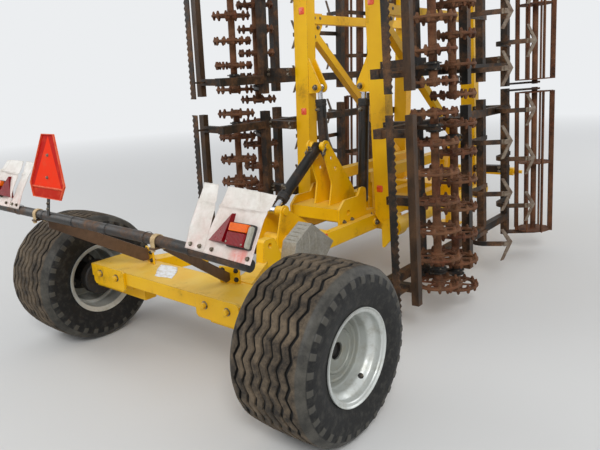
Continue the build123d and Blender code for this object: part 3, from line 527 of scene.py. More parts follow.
rim_profile = (
    (0.2355, -0.2195), (0.2360, -0.2120), (0.2310, -0.2065), (0.2172, -0.2010), (0.2148, -0.1950), (0.2148, -0.125),
    (0.2050, -0.098), (0.1880, -0.085), (0.1870, 0.136), (0.2020, 0.153), (0.2148, 0.168), (0.2148, 0.1950),
    (0.2172, 0.2010), (0.2310, 0.2065), (0.2360, 0.2120), (0.2355, 0.2188), (0.2325, 0.2189), (0.2300, 0.2165),
    (0.2265, 0.2120), (0.2135, 0.2095), (0.2095, 0.2040), (0.2085, 0.1760), (0.2050, 0.1690), (0.1960, 0.1610),
    (0.1850, 0.1460), (0.1825, 0.1340), (0.1820, 0.1090), (0.1795, 0.1000), (0.1700, 0.0955), (0.1530, 0.0950),
    (0.1490, 0.0985), (0.1450, 0.1000), (0.1405, 0.0985), (0.1365, 0.0945), (0.1130, 0.0940), (0.1090, 0.0985),
    (0.1050, 0.1000), (0.0990, 0.0985), (0.0950, 0.0940), (0.0440, 0.0935), (0.0420, 0.0915), (0.0420, 0.0830),
    (0.0440, 0.0820), (0.1650, 0.0830), (0.1800, 0.0800), (0.1820, 0.0700), (0.1820, -0.0800), (0.1990, -0.0930),
    (0.2065, -0.1230), (0.2065, -0.2010), (0.2240, -0.2140),
)
hub_profile = (
    (0, 0.0740), (0.0280, 0.0740), (0.0360, 0.0700), (0.0390, 0.0640), (0.0400, 0.0815), (0.1300, 0.0815),
    (0.1320, 0.0780), (0.1300, 0.0680), (0.0680, 0.0620), (0.0620, 0.0500), (0.0620, -0.1200), (0.1050, -0.1300),
    (0.1180, -0.1380), (0.1180, -0.1920), (0.1100, -0.2000), (0.0740, -0.2035), (0.0330, -0.2035), (0.0330, 0.0300),
    (0, 0.0300),
)
silver = Finish("rim_silver")
spray = silver.noise(7, 5)
grime = silver.noise(13, 8, 0.75).above(0.58, 0.2) * 0.5
disc_radius = 0.178
silver_y, silver_z = silver.y - axle_y, silver.z - axle_z
# Painted shade: the disc inside the rim's barrel is painted a darker grey.
disc_painted_shade = (silver_y * silver_y + silver_z * silver_z).below(disc_radius ** 2, 0.006)
sprayed = silver.mix(spray, colour(204, 207, 203), colour(180, 184, 181))
silver.set(
    Base_Color=silver.mix(grime, silver.mix(disc_painted_shade * 0.75, sprayed, colour(108, 109, 98)), colour(136, 128, 108)),
    Metallic=0.4, Roughness=0.34 + grime * 0.35,
)
silver.bump(silver.noise(48, 4) + grime, 0.0004)
black_cast = Finish("black_casting")
cast_grain = black_cast.noise(70, 6, 0.7)
cast_age = cast_grain.above(0.6, 0.2)
black_cast.set(Base_Color=black_cast.mix(cast_age, colour(26, 25, 24), colour(66, 54, 42)), Roughness=0.62)
black_cast.bump(cast_grain, 0.0006)
nut_count, nut_circle, nut_plane = 8, 0.105, 0.0665
grommet = turned([(0, 0.0030), (0.0060, 0.0035), (0.0090, 0.0015), (0.0125, 0.0020), (0.0150, 0.0000),
                  (0.0155, -0.004), (0, -0.004)], 28)
stem = turned([(0, 0.026), (0.0036, 0.026), (0.0042, 0.017), (0.0052, 0.015), (0.0052, 0.002), (0, 0.002)], 16)
valve_turn = radians(-123)
valve_spread = np.array((0, cos(valve_turn), sin(valve_turn)))
valve_radius, valve_plane = 0.1905, 0.1535
for name, side in sides:
    body, axle_way = "wheel_" + name, (side, 0, 0)
    hub = at(side * wheel_x, 0, axle_z)
    rim = placed(turned(rim_profile, 96, True), hub, axle_way)
    made = piece("rim_shell_" + name, [rim], silver, body, 28)
    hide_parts("rim_" + name)
    turn = np.linspace(0, 2 * pi, nut_count, endpoint=False)
    nut_ring = hub + np.stack([np.full(nut_count, side * nut_plane), nut_circle * np.cos(turn),
                               nut_circle * np.sin(turn)], axis=-1)
    piece("wheel_nuts_" + name, hex_bolts(nut_ring, (-side, 0, 0), 0.024), zinc, body)
    piece("hub_" + name, [placed(turned(hub_profile, 48), hub, axle_way)], black_cast, body)
    valve_foot = hub + valve_spread * valve_radius + (side * valve_plane, 0, 0)
    valve_way = (side * 0.70, 0, 0) - valve_spread * 0.72
    piece("valve_grommet_" + name, [placed(grommet, valve_foot, valve_way)], black_cast, body)
    piece("valve_" + name, [placed(stem, valve_foot, valve_way)], zinc, body)


# ---- Carriage arms ------------------------------------------------------------------------------------
# Two welded box arms from the beam to the pivot under the head, with two cross tubes and the upright lugs
# that the lift cylinder pulls on. Keeper bolts hold the pins, and each boss has a grease nipple.

yellow.on("carriage_frame")


def rounded(width, height, corner, steps=4):
    """A rectangle with rounded corners, as a loop of points round its middle."""
    turn = np.linspace(0, pi / 2, steps)
    loops = []
    for quarter, (sx, sy) in enumerate(((1, 1), (-1, 1), (-1, -1), (1, -1))):
        angle = turn + quarter * pi / 2
        loops.append(np.stack([sx * (width / 2 - corner) + corner * np.cos(angle),
                               sy * (height / 2 - corner) + corner * np.sin(angle)], axis=-1))
    return np.concatenate(loops)


def raised(outline, levels):
    """A solid on an outline: at each level the outline is scaled about its middle and set at a height. Scale 0
    closes an end with one point."""
    outline = np.array(outline, float)
    middle = outline.mean(axis=0)
    scale = np.array([level[0] for level in levels])[:, None, None]
    flat = middle + (outline - middle)[None] * scale
    height = np.broadcast_to(np.array([level[1] for level in levels])[:, None, None], flat.shape[:2] + (1,))
    return np.concatenate([flat, height], axis=2).reshape(-1, 3), grid_quads(len(levels), len(outline), False, True)


nipple = turned([(0, 0.017), (0.0026, 0.017), (0.0038, 0.014), (0.0024, 0.010), (0.0060, 0.008), (0.0060, -0.001),
                 (0, -0.001)], 12)
arm_x, pivot_behind, pivot_z = 0.270, -1.670, 0.580
pivot_end, boss_radius = 0.314, 0.0555
pivot_bolts = [at(side * pivot_end, pivot_behind, pivot_z) for side in (1, -1)]
piece("pivot_pin_bolts", hex_bolts(pivot_bolts, ((1, 0, 0), (-1, 0, 0)), 0.030), zinc, "root")
arm_nipples = [at(side * arm_x, pivot_behind, pivot_z + boss_radius) for side in (1, -1)]
piece("arm_nipples", [placed(nipple, arm_nipples, (0, 0, 1))], zinc, "carriage")

reflector_red = Finish("orange_reflector")
reflector_grain = reflector_red.noise(140, 3).above(0.5, 0.3)
reflector_red.set(
    Base_Color=reflector_red.mix(reflector_grain, colour(238, 92, 30), colour(214, 62, 22)),
    Roughness=0.22, Coat_Weight=0.6,
)
facets = (reflector_red.z * 1500).wave() * (reflector_red.y * 1500).wave()
reflector_red.bump(facets + reflector_red.noise(9, 3), 0.0002)
pad = raised(rounded(0.052, 0.052, 0.010), [(0, 0.003), (0.9, 0.003), (1, 0.002), (1, 0), (0, 0)])
arm_pads = [at(-0.3005, -1.035, 0.612), at(0.3005, -1.035, 0.612)]
piece("arm_reflectors", [placed(pad, arm_pads, ((-1, 0, 0), (1, 0, 0)), (0, 1, 0))], reflector_red, "carriage")
post_x, post_behind = 0.365, -0.070
clamp_x, bar_behind = 0.540, 0.500
post_way = np.array((clamp_x - post_x, bar_behind - post_behind, 0))
arm_length = np.linalg.norm(post_way)
post_run = post_way / arm_length
post_across = np.array((post_run[1], -post_run[0], 0))
for name, side in sides:
    run, aside = post_run * (side, 1, 1), post_across * (1, side, 1)
    foot = at(side * post_x, post_behind, beam_high.z)
    spots = [foot + aside * u + (0, 0, v) for v in (0.076, 0.024) for u in (-0.042, 0.042)]
    piece("post_bolts_" + name, hex_bolts(spots, run, 0.019), black_cast, "carriage")


# ---- Lamp bar -----------------------------------------------------------------------------------------
# A round steel tube across the rear, painted black, its right end bent down by knocks. Two arms cut from flat
# bar carry it from the posts, and a zinc-plated band clamps it to each. The lamps' cable is tied along it.

def black_finish(name, brown_amount):
    """Thin black paint over rusting steel: brown patches in clouds, streaks down the height, rubbed edges.
    Gives the finish, how brown it is from place to place, and the colours of its paint and its rust."""
    paint = Finish(name)
    worn = (paint.edges(0.003) * 5.0 * paint.noise(40, 5, 0.7)).above(0.5, 0.3) * 0.8
    patches = paint.noise(6, 8, 0.72).above(0.60 - 0.2 * brown_amount, 0.16)
    streaks = paint.noise(22, 5, 0.7, (1.0, 1.0, 0.12)).above(0.56, 0.2) * brown_amount
    brown = patches.most(streaks * 0.7).most(worn) * 0.9
    base = paint.mix(paint.noise(3, 4), colour(15, 15, 14), colour(33, 31, 28))
    rust = paint.mix(paint.noise(55, 6, 0.75).above(0.5, 0.4), colour(58, 38, 25), colour(118, 84, 54))
    paint.set(Specular_IOR_Level=0.3)
    return paint, brown, base, rust


tube_paint, tube_brown, tube_base, tube_rust = black_finish("lamp_bar_paint", 0.1)
on_arms = tube_paint.z.below(0.9925, 0.002) * tube_paint.x.size().below(0.60, 0.01)
arm_brown = tube_paint.mix(tube_paint.noise(30, 6, 0.7), colour(62, 44, 30), colour(112, 84, 60))
tube_paint.set(
    Base_Color=tube_paint.mix(on_arms * 0.9, tube_paint.mix(tube_brown, tube_base, tube_rust), arm_brown),
    Roughness=0.40 + tube_brown * 0.35,
)
tube_paint.bump(tube_paint.noise(50, 6) + tube_brown, 0.0005)


def circle(radius, around=10):
    """The outline of a round bar."""
    angle = np.linspace(0, 2 * pi, around, endpoint=False)
    return np.stack([radius * np.cos(angle), radius * np.sin(angle)], axis=-1)


def swept(path, outline, flat):
    """A bar along a path that lies in one plane, or nearly: its outline stands on two directions, flat, which
    is square to that plane, and the cross product of the path's own direction and flat. Both ends are closed."""
    path = np.array(path, float)
    along = np.gradient(path, axis=0)
    along = along[np.r_[0, 0:len(along), -1]]
    path = path[np.r_[0, 0:len(path), -1]]
    scale = np.r_[0, np.ones(len(path) - 2), 0][:, None, None]
    upward = np.cross(along, flat)
    upward = upward / np.linalg.norm(upward, axis=1, keepdims=True)
    section = outline[:, 0, None] * np.array(flat, float) + outline[:, 1, None] * upward[:, None]
    return (path[:, None] + scale * section).reshape(-1, 3), grid_quads(len(path), len(outline), False, True)


bar_z = 1.020
bar_radius = 0.026
bar_half = 1.100
bar_aside = -0.018
bend_start, bend_reach, bend_drop = 0.40, 0.70, 0.024
board_lean = radians(28)


def sunk(across):
    """How far the bar's right end is bent down: a power of the distance past the start of the bend."""
    return bend_drop * np.clip((-across - bend_start) / bend_reach, 0, 1.2) ** 1.3


def on_board(across, height, out, lean=board_lean):
    """A place on a plane that leans forward from the bar: across, up the plane and out towards the rear."""
    return np.array((across + bar_aside, axle_y + bar_behind + out * cos(lean) - height * sin(lean),
                     bar_z - sunk(across) + out * sin(lean) + height * cos(lean)))


outwards = on_board(0, 0, 1) - on_board(0, 0, 0)
reach = np.linspace(-bar_half, bar_half, 45)
tube_line = np.stack([reach + bar_aside, 0 * reach + axle_y + bar_behind, bar_z - sunk(reach)], axis=-1)
bar_shapes = [swept(tube_line, circle(bar_radius, 36), (0, 1, 0))]
saddle_thick, fit_gap = 0.008, 0.0005
arm_top = bar_z - bar_radius - saddle_thick - fit_gap - beam_high.z
arm_start, arm_end, arm_low = 0.0042, arm_length - 0.040, 0.020
arm_half = 0.005
saddle = raised(rounded(0.040, 0.100, 0.006), [(0, -saddle_thick), (1, -saddle_thick), (1, 0), (0, 0)])
band_radius, band_leg, band_nut = 0.0285, 0.044, 0.0092
turn = np.linspace(0, pi, 17)
arch = np.r_[band_radius, band_radius * np.cos(turn), -band_radius]
arch_z = np.r_[-band_leg, band_radius * np.sin(turn), -band_leg]
bands, band_nuts = [], []
for side, deep in ((1, 0.052), (-1, 0.026)):  # the right arm is cut from a narrower bar
    run, aside = post_run * (side, 1, 1), post_across * (1, side, 1)
    arm_outline = ((arm_start, arm_low), (0.045, arm_low), (arm_end, arm_top - deep), (arm_end, arm_top),
                   (arm_end - 0.035, arm_top), (arm_start, 0.036 + deep))
    arm_plate = raised(arm_outline, [(0, -arm_half), (1, -arm_half), (1, arm_half), (0, arm_half)])
    bar_shapes.append(placed(arm_plate, [at(side * post_x, post_behind, beam_high.z)], aside, run))
    clamp = at(side * clamp_x, bar_behind, bar_z - sunk(side * clamp_x))
    bar_shapes.append(placed(saddle, [clamp - (0, 0.012, bar_radius + 0.0004)], (0, 0, 1), (1, 0, 0)))
    legs = clamp + arch[:, None] * np.array((0, 1, 0)) + arch_z[:, None] * np.array((0, 0, 1))
    bands.append(swept(legs, rounded(0.030, 0.0045, 0.001, 3), (1, 0, 0)))
    band_nuts += [leg_end + (0, 0, band_nut) for leg_end in (legs[0], legs[-1])]
made = piece("lamp_bar_on_arms", bar_shapes, tube_paint, "carriage")
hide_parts("lamp_bar")
pale_zinc = Finish("yellow_passivated_zinc")
zinc_cloud = pale_zinc.noise(40, 6, 0.7)
zinc_stain = zinc_cloud.above(0.5, 0.4)
pale_zinc.set(Base_Color=pale_zinc.mix(zinc_stain, colour(206, 182, 138), colour(150, 122, 82)),
              Metallic=0.3, Roughness=0.45 + zinc_cloud * 0.2)
pale_zinc.bump(zinc_cloud, 0.0003)
piece("lamp_bar_bands", bands + hex_bolts(band_nuts, (0, 0, -1), 0.017), pale_zinc, "carriage")

cable_black = Finish("cable_rubber")
cable_black.set(Base_Color=cable_black.mix(cable_black.noise(60, 4), colour(18, 18, 19), colour(52, 50, 48)),
                Roughness=0.5)
cable_black.bump(cable_black.noise(200, 2), 0.0002)
tie_pitch = 0.155
cable_half, cable_radius, cable_sag = 6 * tie_pitch, 0.0042, 0.010
reach = np.linspace(-cable_half, cable_half, 121)
sag = cable_sag * np.abs(np.sin(reach * pi / tie_pitch)) ** 1.5 + sunk(reach)
cable = np.stack([reach, axle_y + bar_behind - 0.0325 + 0.002 * np.sin(reach * 9), bar_z - 0.004 - sag], axis=-1)
turn = np.linspace(0, 2 * pi, 25)
tie = np.stack([0 * turn, 0.0320 * np.cos(turn) - 0.003, 0.0285 * np.sin(turn)], axis=-1)
ties = [swept(tie + at(x, bar_behind, bar_z - sunk(x)), circle(0.0013, 6), (1, 0, 0))
        for x in np.arange(-5, 6, 2) * tie_pitch]
piece("lamp_cable", [swept(cable, circle(cable_radius, 8), (0, 0, 1))] + ties, cable_black, "carriage")


# ---- Lamp boards --------------------------------------------------------------------------------------
# Each board is two pieces of thin white-painted sheet, a narrow strip and a wider plate, bent and creased by
# knocks. Road dust and a reddish smear from the lamp's lens have stained them.

white = Finish("board_white")
smear = white.noise(7, 7, 0.7).above(0.5, 0.35) * white.z.below(1.17, 0.22)
dripped = white.noise(26, 6, 0.7, (1, 1, 0.3)).above(0.42, 0.3) * white.z.below(1.080, 0.05) \
    * white.x.size().above(1.030, 0.05) * white.x.size().below(1.115, 0.02)
dusty = white.noise(11, 8, 0.75).above(0.53, 0.3)
dusty_white = white.mix(dusty * 0.6, colour(214, 211, 204), colour(164, 154, 138))
reddened = (smear * 0.35).most(dripped * 0.85)
white.set(Base_Color=white.mix(reddened, dusty_white, colour(206, 104, 90)), Roughness=0.42)
white.bump(white.noise(14, 6) + dusty * 0.3, 0.0012)


def creased(u, v):
    """Out from the board by slow waves, two folds, each the distance from a slanting line, and two narrow
    ridges where the sheet has kinked, each a bell curve across a line."""
    wave = 0.0035 * np.sin(5.1 * u + 2.3 * v + 1) + 0.0030 * np.sin(4.7 * v - 7.3 * u)
    folds = 0.020 * np.maximum(0, v - 0.72 - 0.05 * u) - 0.018 * np.abs(v - 0.42 + 0.2 * u) \
        - 0.060 * np.maximum(0, v + 0.8 * u - 1.45)
    kinks = 0.0065 * np.exp(-((v - 0.70 - 0.05 * u) / 0.022) ** 2) \
        - 0.0075 * np.exp(-((u + 0.55 * v - 1.22) / 0.030) ** 2) * np.clip(4 * v - 2.6, 0, 1)
    dents = 0.0024 * np.sin(11 * u + 5 * v) * np.sin(9 * v - 4 * u)
    return (wave + folds + kinks + dents) * np.clip(4 * v - 0.2, 0, 1)


strip_out, plate_out, board_top = 0.0300, 0.0315, 0.290
boards = []
for side in (1, -1):
    strip = [on_board(side * x, h, strip_out) for x, h in
             ((0.745, 0.0), (0.864, 0.0), (0.838, board_top), (0.745, board_top))]
    plate = [on_board(side * x, h, plate_out) for x, h in
             ((0.858, 0.0), (1.125, 0.0), (1.140, board_top), (0.888, board_top))]
    boards.append(sheet(strip, 14, 26, lambda u, v: outwards * (creased(0.4 * u, v) + 0.004 * v)))
    boards.append(sheet(plate, 48, 72, lambda u, v: outwards * creased(u, v)))
made = piece("creased_boards", boards, white, "carriage", 24, 0.0022)
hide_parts("lamp_boards")
board_bolts = [on_board(side * x, 0.022, 0.033) for side in (1, -1) for x in (0.775, 0.832, 0.905, 1.105)]
piece("board_bolts", hex_bolts(board_bolts, outwards, 0.013), zinc, "carriage")


# ---- Tail lamps ---------------------------------------------------------------------------------------
# Moulded lamps on the boards: a black tray with a ribbed red lens, an orange one above it and a clear one at
# its outer side. A triangular red reflector, a ridged wedge, stands against the lamp's inner side.

def lens_finish(name, bright, dark):
    """Clear coloured plastic with fine upright ribs and cloudy dust."""
    plastic = Finish(name)
    cloudy = plastic.noise(60, 6)
    plastic.set(Base_Color=plastic.mix(cloudy, bright, dark), Roughness=0.2 + cloudy * 0.2, Specular_IOR_Level=0.2)
    return plastic.bump((plastic.x * 900).wave() * 0.5 + cloudy * 0.4, 0.0005)


red_lens = lens_finish("lamp_lens", colour(142, 8, 16), colour(76, 6, 18))
orange_lens = lens_finish("orange_lens", colour(232, 106, 0), colour(186, 70, 4))
clear_lens = lens_finish("clear_lens", colour(176, 174, 158), colour(118, 116, 104))
lens_parts = (  # width, height, across, up the board, how far out
    (red_lens, 0.102, 0.054, 1.042, 0.083, 0.034),
    (orange_lens, 0.102, 0.034, 1.042, 0.129, 0.034),
    (clear_lens, 0.018, 0.088, 1.104, 0.101, 0.031),
)
lamp_foot = 0.0303
tray_shape = raised(rounded(0.134, 0.100, 0.012),
                    [(0, -0.012), (1, -0.012), (1, 0.013), (0.97, 0.015), (0, 0.015)])
wedge_foot = np.array(((-0.100, -0.057, -0.012), (0.018, -0.057, -0.012), (0.008, 0.074, -0.012)))
wedge_top = np.array(((-0.093, -0.054, 0.006), (0.012, -0.052, 0.036), (0.004, 0.067, 0.012)))
wedge_loops = [0 * wedge_foot + wedge_foot.mean(axis=0), wedge_foot, wedge_top,
               0 * wedge_top + wedge_top.mean(axis=0)]
wedge_points, wedge_quads = np.concatenate(wedge_loops), grid_quads(4, 3, False, True)
trays, wedges = [], []
for side in (1, -1):
    trays.append(placed(tray_shape, [on_board(side * 1.048, 0.101, lamp_foot)], outwards, (side, 0, 0)))
    mirrored = wedge_points * (1, -side, 1)
    wedges.append(placed((mirrored, wedge_quads), [on_board(side * 0.966, 0.113, lamp_foot)], outwards,
                         (side, 0, 0)))
piece("lamp_trays", trays, black_cast, "carriage")
for finish, width, height, x, up_board, out in lens_parts:
    shape = raised(rounded(width, height, 0.006), [(0, 0.014), (1, 0.014), (1, out - 0.008), (0.97, out - 0.002),
                                                   (0.90, out), (0, out)])
    shapes = [placed(shape, [on_board(side * x, up_board, lamp_foot)], outwards, (side, 0, 0)) for side in (1, -1)]
    made = piece(finish.material.name + "_part", shapes + wedges * (finish is red_lens), finish, "carriage",
                 20)
    if finish is red_lens:
        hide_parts("tail_lamps")
lamp_screws = [on_board(side * x, 0.066, 0.0647) for side in (1, -1) for x in (1.000, 1.083)]
screw = turned([(0, -0.001), (0.0045, -0.001), (0.0045, 0.0005), (0.003, 0.0018), (0, 0.002)], 14)
piece("lamp_screws", [placed(screw, lamp_screws, outwards)], zinc, "carriage")


# ---- Warning triangle ---------------------------------------------------------------------------------
# The sign of a slow vehicle: a pressed sheet with its corners cut off, fluorescent orange-red in the middle
# between bands of darker red, a flap bent along its foot and a turned edge. A thin stem holds it to the bar.

sign_lean = radians(10)
sign_x = 0.406
sign_out = 0.0300


def on_sign(across, height, out):
    """A place on the sign's own plane."""
    return on_board(sign_x + across, height, out, sign_lean)


sign = Finish("slow_vehicle_red")
sign_up = (sign.z - bar_z) * (1 / cos(sign_lean))
sign_aside = (sign.x - (sign_x + bar_aside)).size()
fold_up, middle_half, middle_slope = 0.160, 0.150, 0.54
middle_part = (middle_half - (sign_up - 0.165) * middle_slope - sign_aside).above(0, 0.004)
flap = sign_up.below(fold_up, 0.003)
scuffed = sign.noise(20, 7, 0.72).above(0.6, 0.16) * 0.4
banded = sign.mix(middle_part, colour(176, 16, 4), colour(228, 46, 0))
sign.set(
    Base_Color=sign.mix(scuffed, sign.mix(flap * 0.8, banded, colour(160, 26, 8)), colour(208, 84, 50)),
    Roughness=0.7, Specular_IOR_Level=0.12,
)
sign.bump(sign.noise(22, 5) + flap, 0.0006)
border = Finish("sign_border")
border_wear = border.noise(34, 6, 0.7)
border.set(Base_Color=border.mix(border_wear.above(0.55, 0.3), colour(206, 66, 34), colour(224, 122, 84)),
           Roughness=0.6, Specular_IOR_Level=0.2)
border.bump(border_wear, 0.0003)
foot_half, foot_up, wide_half, wide_up, top_half, top_up = 0.146, 0.103, 0.184, 0.178, 0.062, 0.448
outline = np.array(((-foot_half, foot_up), (-wide_half, wide_up), (-top_half, top_up), (top_half, top_up),
                    (wide_half, wide_up), (foot_half, foot_up)))
middle = np.array((0, 0.27))
inner = middle + (outline - middle) * (0.968, 0.975)
point = 0 * outline + middle
sign_back, edge_front = sign_out - 0.004, sign_out + 0.007
sign_points, edge_points = (
    np.concatenate([[on_sign(x, h, out) for x, h in loop] for loop, out in loops])
    for loops in (
        ((point, sign_out), (inner, sign_out), (inner, sign_back), (point, sign_back)),
        ((outline, sign_back), (outline, edge_front), (inner, edge_front), (inner, sign_back)),
    )
)
made = piece("sign_sheet", [(sign_points, grid_quads(4, 6, False, True))], sign, "carriage")
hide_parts("warning_triangle")
piece("sign_edge", [(edge_points, grid_quads(4, 6, True, True))], border, "carriage")
fold_half, fold_steps = 0.166, 9
fold_rows = ((-0.006, 0.0006), (0, 0.0045), (0.006, 0.0006))  # up from the fold, out from the sheet
fold_line = np.array([on_sign(x, fold_up + h, sign_out + out) for h, out in fold_rows
                      for x in np.linspace(-fold_half, fold_half, fold_steps)])
fold = (fold_line, grid_quads(len(fold_rows), fold_steps))
piece("sign_fold", [fold], border, "carriage", thickness=0.001)
sign_normal = on_sign(0, 0, 1) - on_sign(0, 0, 0)
stem_thick = 0.0055
strip = raised(rounded(0.024, 0.300, 0.006), [(0, 0), (1, 0), (1, stem_thick), (0, stem_thick)])
stem_foot = on_sign(0, 0.155, sign_back - stem_thick)
piece("sign_stem", [placed(strip, [stem_foot], sign_normal, (1, 0, 0))], black_cast, "carriage")
sign_bolts = [on_sign(0, h, sign_out + 0.0003) for h in (0.215, 0.335)]
stem_bolts = [on_sign(0, h, sign_out - 0.0044) for h in (0.045, 0.075)]
piece("sign_bolts", hex_bolts(sign_bolts + stem_bolts, sign_normal, 0.012), zinc, "carriage")


# ---- Wheel chock --------------------------------------------------------------------------------------
# A pressed sheet chock, hot-dip galvanised to a mottled grey, stowed on the right arm. Its sides have ribs
# pressed into them so that the thin sheet stays stiff.

galvanised = Finish("galvanised_sheet")
spangle = galvanised.add("ShaderNodeTexVoronoi", {"feature": "F1"}, {"Vector": galvanised.place, "Scale": 85.0})
flake = Wire(galvanised, spangle.outputs["Distance"])
dull = galvanised.noise(9, 7, 0.7).above(0.52, 0.3)
galvanised.edges(0.006)
spangled = galvanised.mix(flake, colour(182, 179, 168), colour(152, 149, 140))
galvanised.set(Base_Color=galvanised.mix(dull * 0.6, spangled, colour(128, 120, 104)), Metallic=0.45,
               Roughness=0.46 + dull * 0.25)
galvanised.bump(flake * 0.4 + galvanised.noise(26, 5), 0.0007)
galvanised.on("wheel_chock")
chock_low, chock_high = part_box("wheel_chock")
chock_rib = raised(rounded(0.024, 0.150, 0.0118, 6),
                   [(0, 0.0045), (0.55, 0.0045), (0.85, 0.0030), (1, -0.001), (0, -0.001)])
ribs_at = [at(chock_low.x, -ahead, z) for ahead, z in ((0.660, 0.655), (0.730, 0.670), (0.800, 0.650))]
piece("chock_ribs", [placed(chock_rib, ribs_at, (-1, 0, 0), (0, 1, 0))], galvanised, "carriage")
tooth = raised(rounded(0.094, 0.012, 0.004), [(0, 0.006), (0.6, 0.006), (1, 0), (1, -0.001), (0, -0.001)])
chock_x = (chock_low.x + chock_high.x) / 2
# each slope: how far ahead and how high it starts, its run and its rise, how many teeth
slopes = ((0.600, 0.700, 0.160, 0.090, 5), (0.760, 0.790, 0.220, -0.170, 6))
teeth = []
for ahead, z, slope_run, rise, count in slopes:
    rows = [at(chock_x, -ahead - slope_run * s, z + rise * s) for s in np.linspace(0.12, 0.88, count)]
    teeth.append(placed(tooth, rows, (0, rise, slope_run), (1, 0, 0)))
piece("chock_teeth", teeth, galvanised, "carriage")


# ---- Head and tower -----------------------------------------------------------------------------------
# The welded head carries the carriage's pivot pin and the two slanting plates of the tower, between which
# the lift cylinder is pinned. The pins are turned from bright bar and kept by bolted flats.

yellow.on("rear_head", "tower")
tower_behind, tower_z, tower_half = -1.384, 1.185, 0.0775
keeper = raised(rounded(0.070, 0.024, 0.010), [(0, 0.007), (0.9, 0.007), (1, 0.005), (1, -0.001), (0, -0.001)])
pin_face = turned([(0, 0.010), (0.018, 0.010), (0.021, 0.007), (0.021, -0.002), (0, -0.002)], 28)
for name, side in sides:
    end, pin_way = at(side * tower_half, tower_behind, tower_z), (side, 0, 0)
    keeper_bolt = hex_bolts([end + (side * 0.006, 0.040, -0.047)], pin_way, 0.016)
    flat = placed(keeper, [end + (0, 0.030, -0.034)], pin_way, (0, 0.6, -0.8))
    piece("tower_pin_" + name, [placed(pin_face, [end], pin_way), flat] + keeper_bolt, zinc, "root")
head_bolts = [at(side * 0.2352, -ahead, 0.640) for side in (1, -1) for ahead in (1.352, 1.452)]
outward = np.repeat(((1, 0, 0), (-1, 0, 0)), 2, axis=0)
piece("head_bolts", hex_bolts(head_bolts, outward, 0.024), zinc, "root")


# ---- Hydraulic cylinders ------------------------------------------------------------------------------
# Honed steel barrels sprayed black, each with a screwed gland at its end and two ports with steel fittings.
# The rods are hard-chromed and run dry and bright.

barrel_paint, barrel_brown, barrel_base, barrel_rust = black_finish("cylinder_paint", 0.1)
barrel_paint.set(Base_Color=barrel_paint.mix(barrel_brown * 0.5, barrel_base, barrel_rust),
                 Roughness=0.34, Coat_Weight=0.25)
barrel_paint.bump(barrel_paint.noise(60, 5), 0.0003)
barrel_paint.on("lift_barrel", "fold_barrel_left", "fold_barrel_right")
chrome = Finish("rod_chrome")
scratches = chrome.noise(90, 4, 0.7, (1.0, 1.0, 0.08))
chrome.set(Base_Color=chrome.mix(scratches, colour(214, 216, 219), colour(176, 179, 184)),
           Metallic=1.0, Roughness=0.12 + scratches * 0.16)
chrome.bump(scratches, 0.00005)
chrome.on("lift_rod", "fold_rod_left", "fold_rod_right")

fold_behind, fold_foot_z, fold_eye_z = -1.705, 0.740, 1.5993
fold_foot_x, fold_eye_x, fold_gland = 0.170, 0.2074, 0.7652
# each cylinder: body, foot, eye, how far the gland is from the foot, where its ports face
cylinders = (
    ("lift_barrel", (0, tower_behind, tower_z), (0, -0.865, 0.810), 0.5453, (0, 0.4, 1)),
) + tuple(
    ("fold_barrel_" + name, (side * fold_foot_x, fold_behind, fold_foot_z),
     (side * fold_eye_x, fold_behind, fold_eye_z), fold_gland, (0, 1, 0)) for name, side in sides
)
gland = turned([(0.0205, 0.004), (0.036, 0.004), (0.0435, 0.000), (0.0445, -0.004), (0.0445, -0.022),
                (0.0425, -0.024), (0.0425, -0.030), (0.0445, -0.032), (0.0445, -0.046), (0.0400, -0.050),
                (0.0395, -0.050), (0.0395, -0.030), (0.0205, -0.030)], 40, True)
fitting = turned([(0, 0.036), (0.0055, 0.036), (0.0070, 0.034), (0.0070, 0.026), (0.0105, 0.025), (0.0120, 0.023),
                  (0.0120, 0.015), (0.0105, 0.013), (0.0150, 0.012), (0.0150, 0.000), (0.0165, -0.004),
                  (0, -0.004)], 12)
barrel_radius = 0.0395
for body, foot, eye, gland_from_foot, port_way in cylinders:
    foot, eye = at(*foot), at(*eye)
    along = (eye - foot) / np.linalg.norm(eye - foot)
    port_way = np.array(port_way, float) - along * (np.array(port_way, float) @ along)
    port_way = port_way / np.linalg.norm(port_way)
    ports = [foot + along * d + port_way * barrel_radius for d in (0.085, gland_from_foot - 0.075)]
    gland_ring = placed(gland, [foot + along * gland_from_foot], along)
    piece(body + "_gland", [gland_ring], black_cast, body)
    piece(body + "_fittings", [placed(fitting, ports, port_way)], zinc, body)


# ---- Centre frame and drawbar -------------------------------------------------------------------------
# The middle of the machine: two hinge tubes tied by cross beams, spines to the front, a tapered drawbar, a
# screw jack to park on and a crossbar for the tractor's lower links.

yellow.on("centre_frame", "drawbar", "parking_jack", "hitch_crossbar")
jack_x, jack_behind, jack_z = 0.146, -3.900, 0.872
handle_path = [at(jack_x, behind, z) for behind, z in
               ((jack_behind, jack_z), (jack_behind, 0.902), (-3.880, 0.912), (-3.760, 0.912), (-3.752, 0.916),
                (-3.750, 0.930), (-3.750, 0.985))]
handle = swept(handle_path, circle(0.0075, 12), (1, 0, 0))
jack_cap = turned([(0, 0.012), (0.020, 0.012), (0.028, 0.008), (0.030, 0.0), (0.030, -0.004), (0, -0.004)], 24)
piece("jack_crank", [handle, placed(jack_cap, handle_path[:1], (0, 0, 1))], zinc, "root")


# ---- Wing frames --------------------------------------------------------------------------------------
# Each wing is two tall box beams on the hinge tube, joined by a strut and a diagonal and painted like the
# centre. The gussets that the fold cylinder pulls on are flame-cut plates.

yellow.on("wing_frame_left", "wing_frame_right")
wing_lean, hinge_x, hinge_z = radians(1.9), 0.455, 0.560


